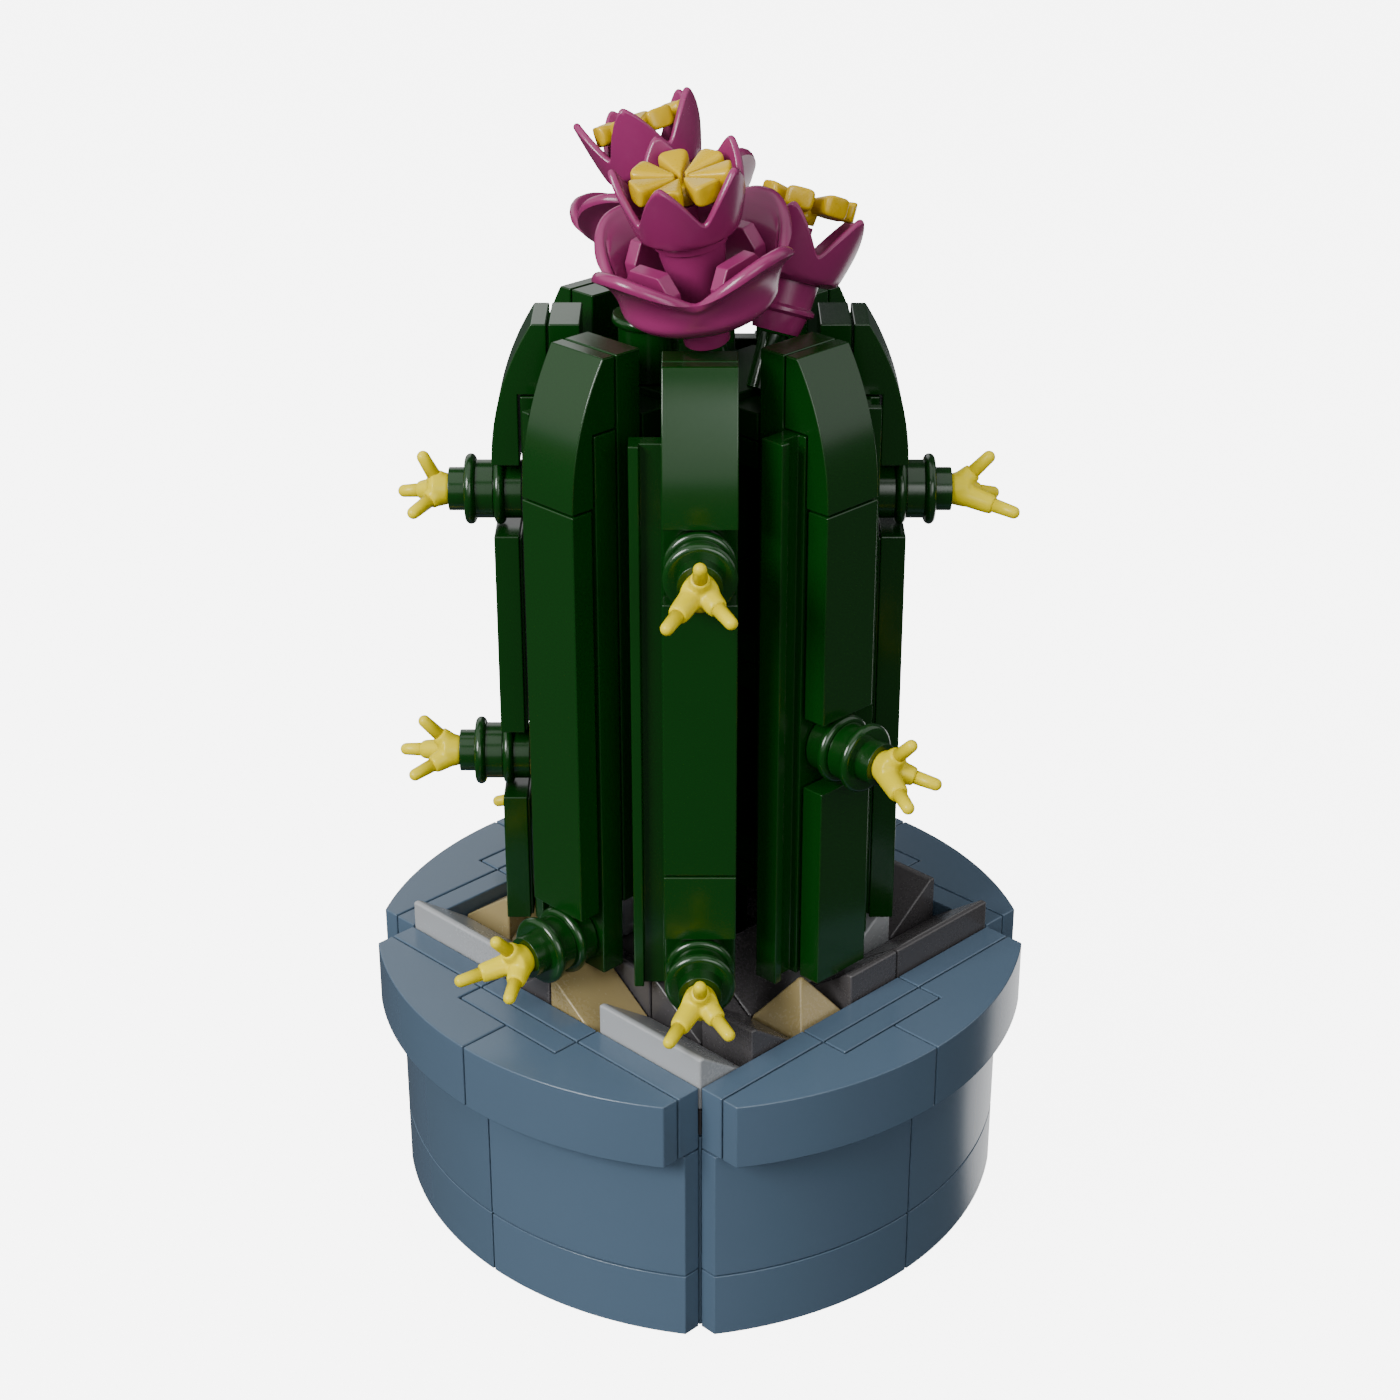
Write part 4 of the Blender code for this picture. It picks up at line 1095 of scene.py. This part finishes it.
def centre_petal():
    """One thick rounded petal of a yellow centre, narrow in the middle and blunt outside."""
    shoulder = CENTRE_SHOULDER * CENTRE_R
    rings = []
    for index in range(CENTRE_STATIONS + 1):
        share = (1 - math.cos(math.pi * index / CENTRE_STATIONS)) / 2
        x = CENTRE_INNER_R + (CENTRE_R - CENTRE_INNER_R) * share
        end = max(0.0, (x - shoulder) / (CENTRE_R - shoulder))
        gap = CENTRE_GAP_INSIDE + CENTRE_GAP * (x / CENTRE_R) ** CENTRE_GAP_GROWTH
        wide = (x * math.tan(math.pi / CENTRE_PETALS) - gap) * rounded_off(end, CENTRE_BLUNT[0])
        high = CENTRE_TALL - CENTRE_DIMPLE * (1 - x / CENTRE_R)
        half = high / 2 * rounded_off(end, CENTRE_BLUNT[1])
        middle = CENTRE_LOW + high / 2
        ring = []
        for side in range(CENTRE_SIDES):
            angle = math.tau * side / CENTRE_SIDES
            y = wide * signed_power(math.cos(angle), CENTRE_ROUND[0])
            ring.append((x, y, middle + half * signed_power(math.sin(angle), CENTRE_ROUND[1])))
        rings.append(ring)
    rings[0] = [(CENTRE_INNER_R - CENTRE_POINT, 0, rings[0][0][2])]
    rings[-1] = [(CENTRE_R, 0, CENTRE_LOW + CENTRE_TALL / 2)]
    bm = bmesh.new()
    add_rings(bm, rings)
    return mould("centre_petal", bm, edge=0)


def yellow_centre(finish):
    """Ring of seven petals on a short hub."""
    turns = around([CENTRE_TURN + 360 * index / CENTRE_PETALS for index in range(CENTRE_PETALS)])
    bm = taken_apart(copies("centre", centre_petal(), turns, finish))
    hub = [(0, 0), (CENTRE_HUB_R, 0), (CENTRE_HUB_FOOT_R, -CENTRE_HUB), (0, -CENTRE_HUB)]
    add_turned(bm, hub, CENTRE_HUB_STEPS)
    return mould("centre", bm, edge=0)


def make_flowers():
    magenta = moulded_plastic("magenta_plastic", MAGENTA, roughness=0.26)
    yellow = moulded_plastic("yellow_plastic", YELLOW, roughness=0.28, index=1.42)
    for letter, (_, _, petal_turn, length) in FLOWERS.items():
        name = "flower_" + letter
        base = flower_frame(letter)
        if letter in SKIRTS:
            skirt_turn, tips = SKIRTS[letter]
            for word, shape in (("petal_skirt", petal_skirt(tips)), ("inner_petals", inner_petals())):
                shape.matrix_world = base @ turn(skirt_turn)
                finished(shape, f"{name}_{word}", magenta, [name + "_skirt"])
        drop = CENTRE_DROPS[letter]
        post = CUP_TALL - drop - CENTRE_HUB - SEAT
        cup = petal_cup(post, STEMS[letter])
        cup.matrix_world = base @ Matrix.Translation((0, 0, length - CUP_TALL)) @ turn(petal_turn)
        finished(cup, name + "_petal_cup", magenta, [name + "_cup"])
        centre = yellow_centre(yellow)
        centre.matrix_world = base @ Matrix.Translation((0, 0, length - drop))
        finished(centre, name + "_yellow_centre", yellow, [name + "_centre"])


# Stage

def add_light(name, place, size, power):
    data = bpy.data.lights.new(name, "AREA")
    data.shape = "RECTANGLE"
    data.size, data.size_y = size
    data.energy = power
    light = bpy.data.objects.new(name, data)
    bpy.context.scene.collection.objects.link(light)
    light.location = place
    light.visible_camera = False
    light.rotation_euler = (Vector(LIGHTS_TARGET) - Vector(place)).to_track_quat("-Z", "Y").to_euler()


def add_floor():
    """Pale floor that only the camera sees, so that it neither lights nor darkens the object."""
    bm = bmesh.new()
    bmesh.ops.create_grid(bm, x_segments=1, y_segments=1, size=FLOOR_SIZE)
    mesh = bpy.data.meshes.new("floor")
    bm.to_mesh(mesh)
    bm.free()
    floor = bpy.data.objects.new("floor", mesh)
    bpy.context.scene.collection.objects.link(floor)
    floor.location.z = FLOOR_HEIGHT
    material = bpy.data.materials.new("floor_paper")
    material.use_nodes = True
    shader = material.node_tree.nodes["Principled BSDF"]
    for socket, value in FLOOR_PAPER.items():
        shader.inputs[socket].default_value = value
    mesh.materials.append(material)
    floor.visible_glossy = False
    floor.visible_diffuse = False
    floor.visible_shadow = False


def add_camera():
    data = bpy.data.cameras.new("camera")
    data.lens = LENS
    data.sensor_width = SENSOR
    data.clip_start = CAMERA_NEAR
    camera = bpy.data.objects.new("camera", data)
    bpy.context.scene.collection.objects.link(camera)
    tilt = math.radians(CAMERA_ELEVATION)
    back = Vector((0, -math.cos(tilt), math.sin(tilt)))
    camera.location = (Vector(CAMERA_TARGET) + CAMERA_DISTANCE * back) * MM
    camera.rotation_euler = (-back).to_track_quat("-Z", "Y").to_euler()
    bpy.context.scene.camera = camera


def make_stage():
    """Pale floor, soft studio light and the photograph's camera, in metres."""
    add_floor()
    world = bpy.data.worlds.new("studio")
    world.use_nodes = True
    for socket, value in SKY.items():
        world.node_tree.nodes["Background"].inputs[socket].default_value = value
    bpy.context.scene.world = world
    for light in LIGHTS:
        add_light(*light)
    add_camera()


COPIES = copies_tree()
make_pot()
make_stones()
make_cactus()
make_flowers()
make_stage()
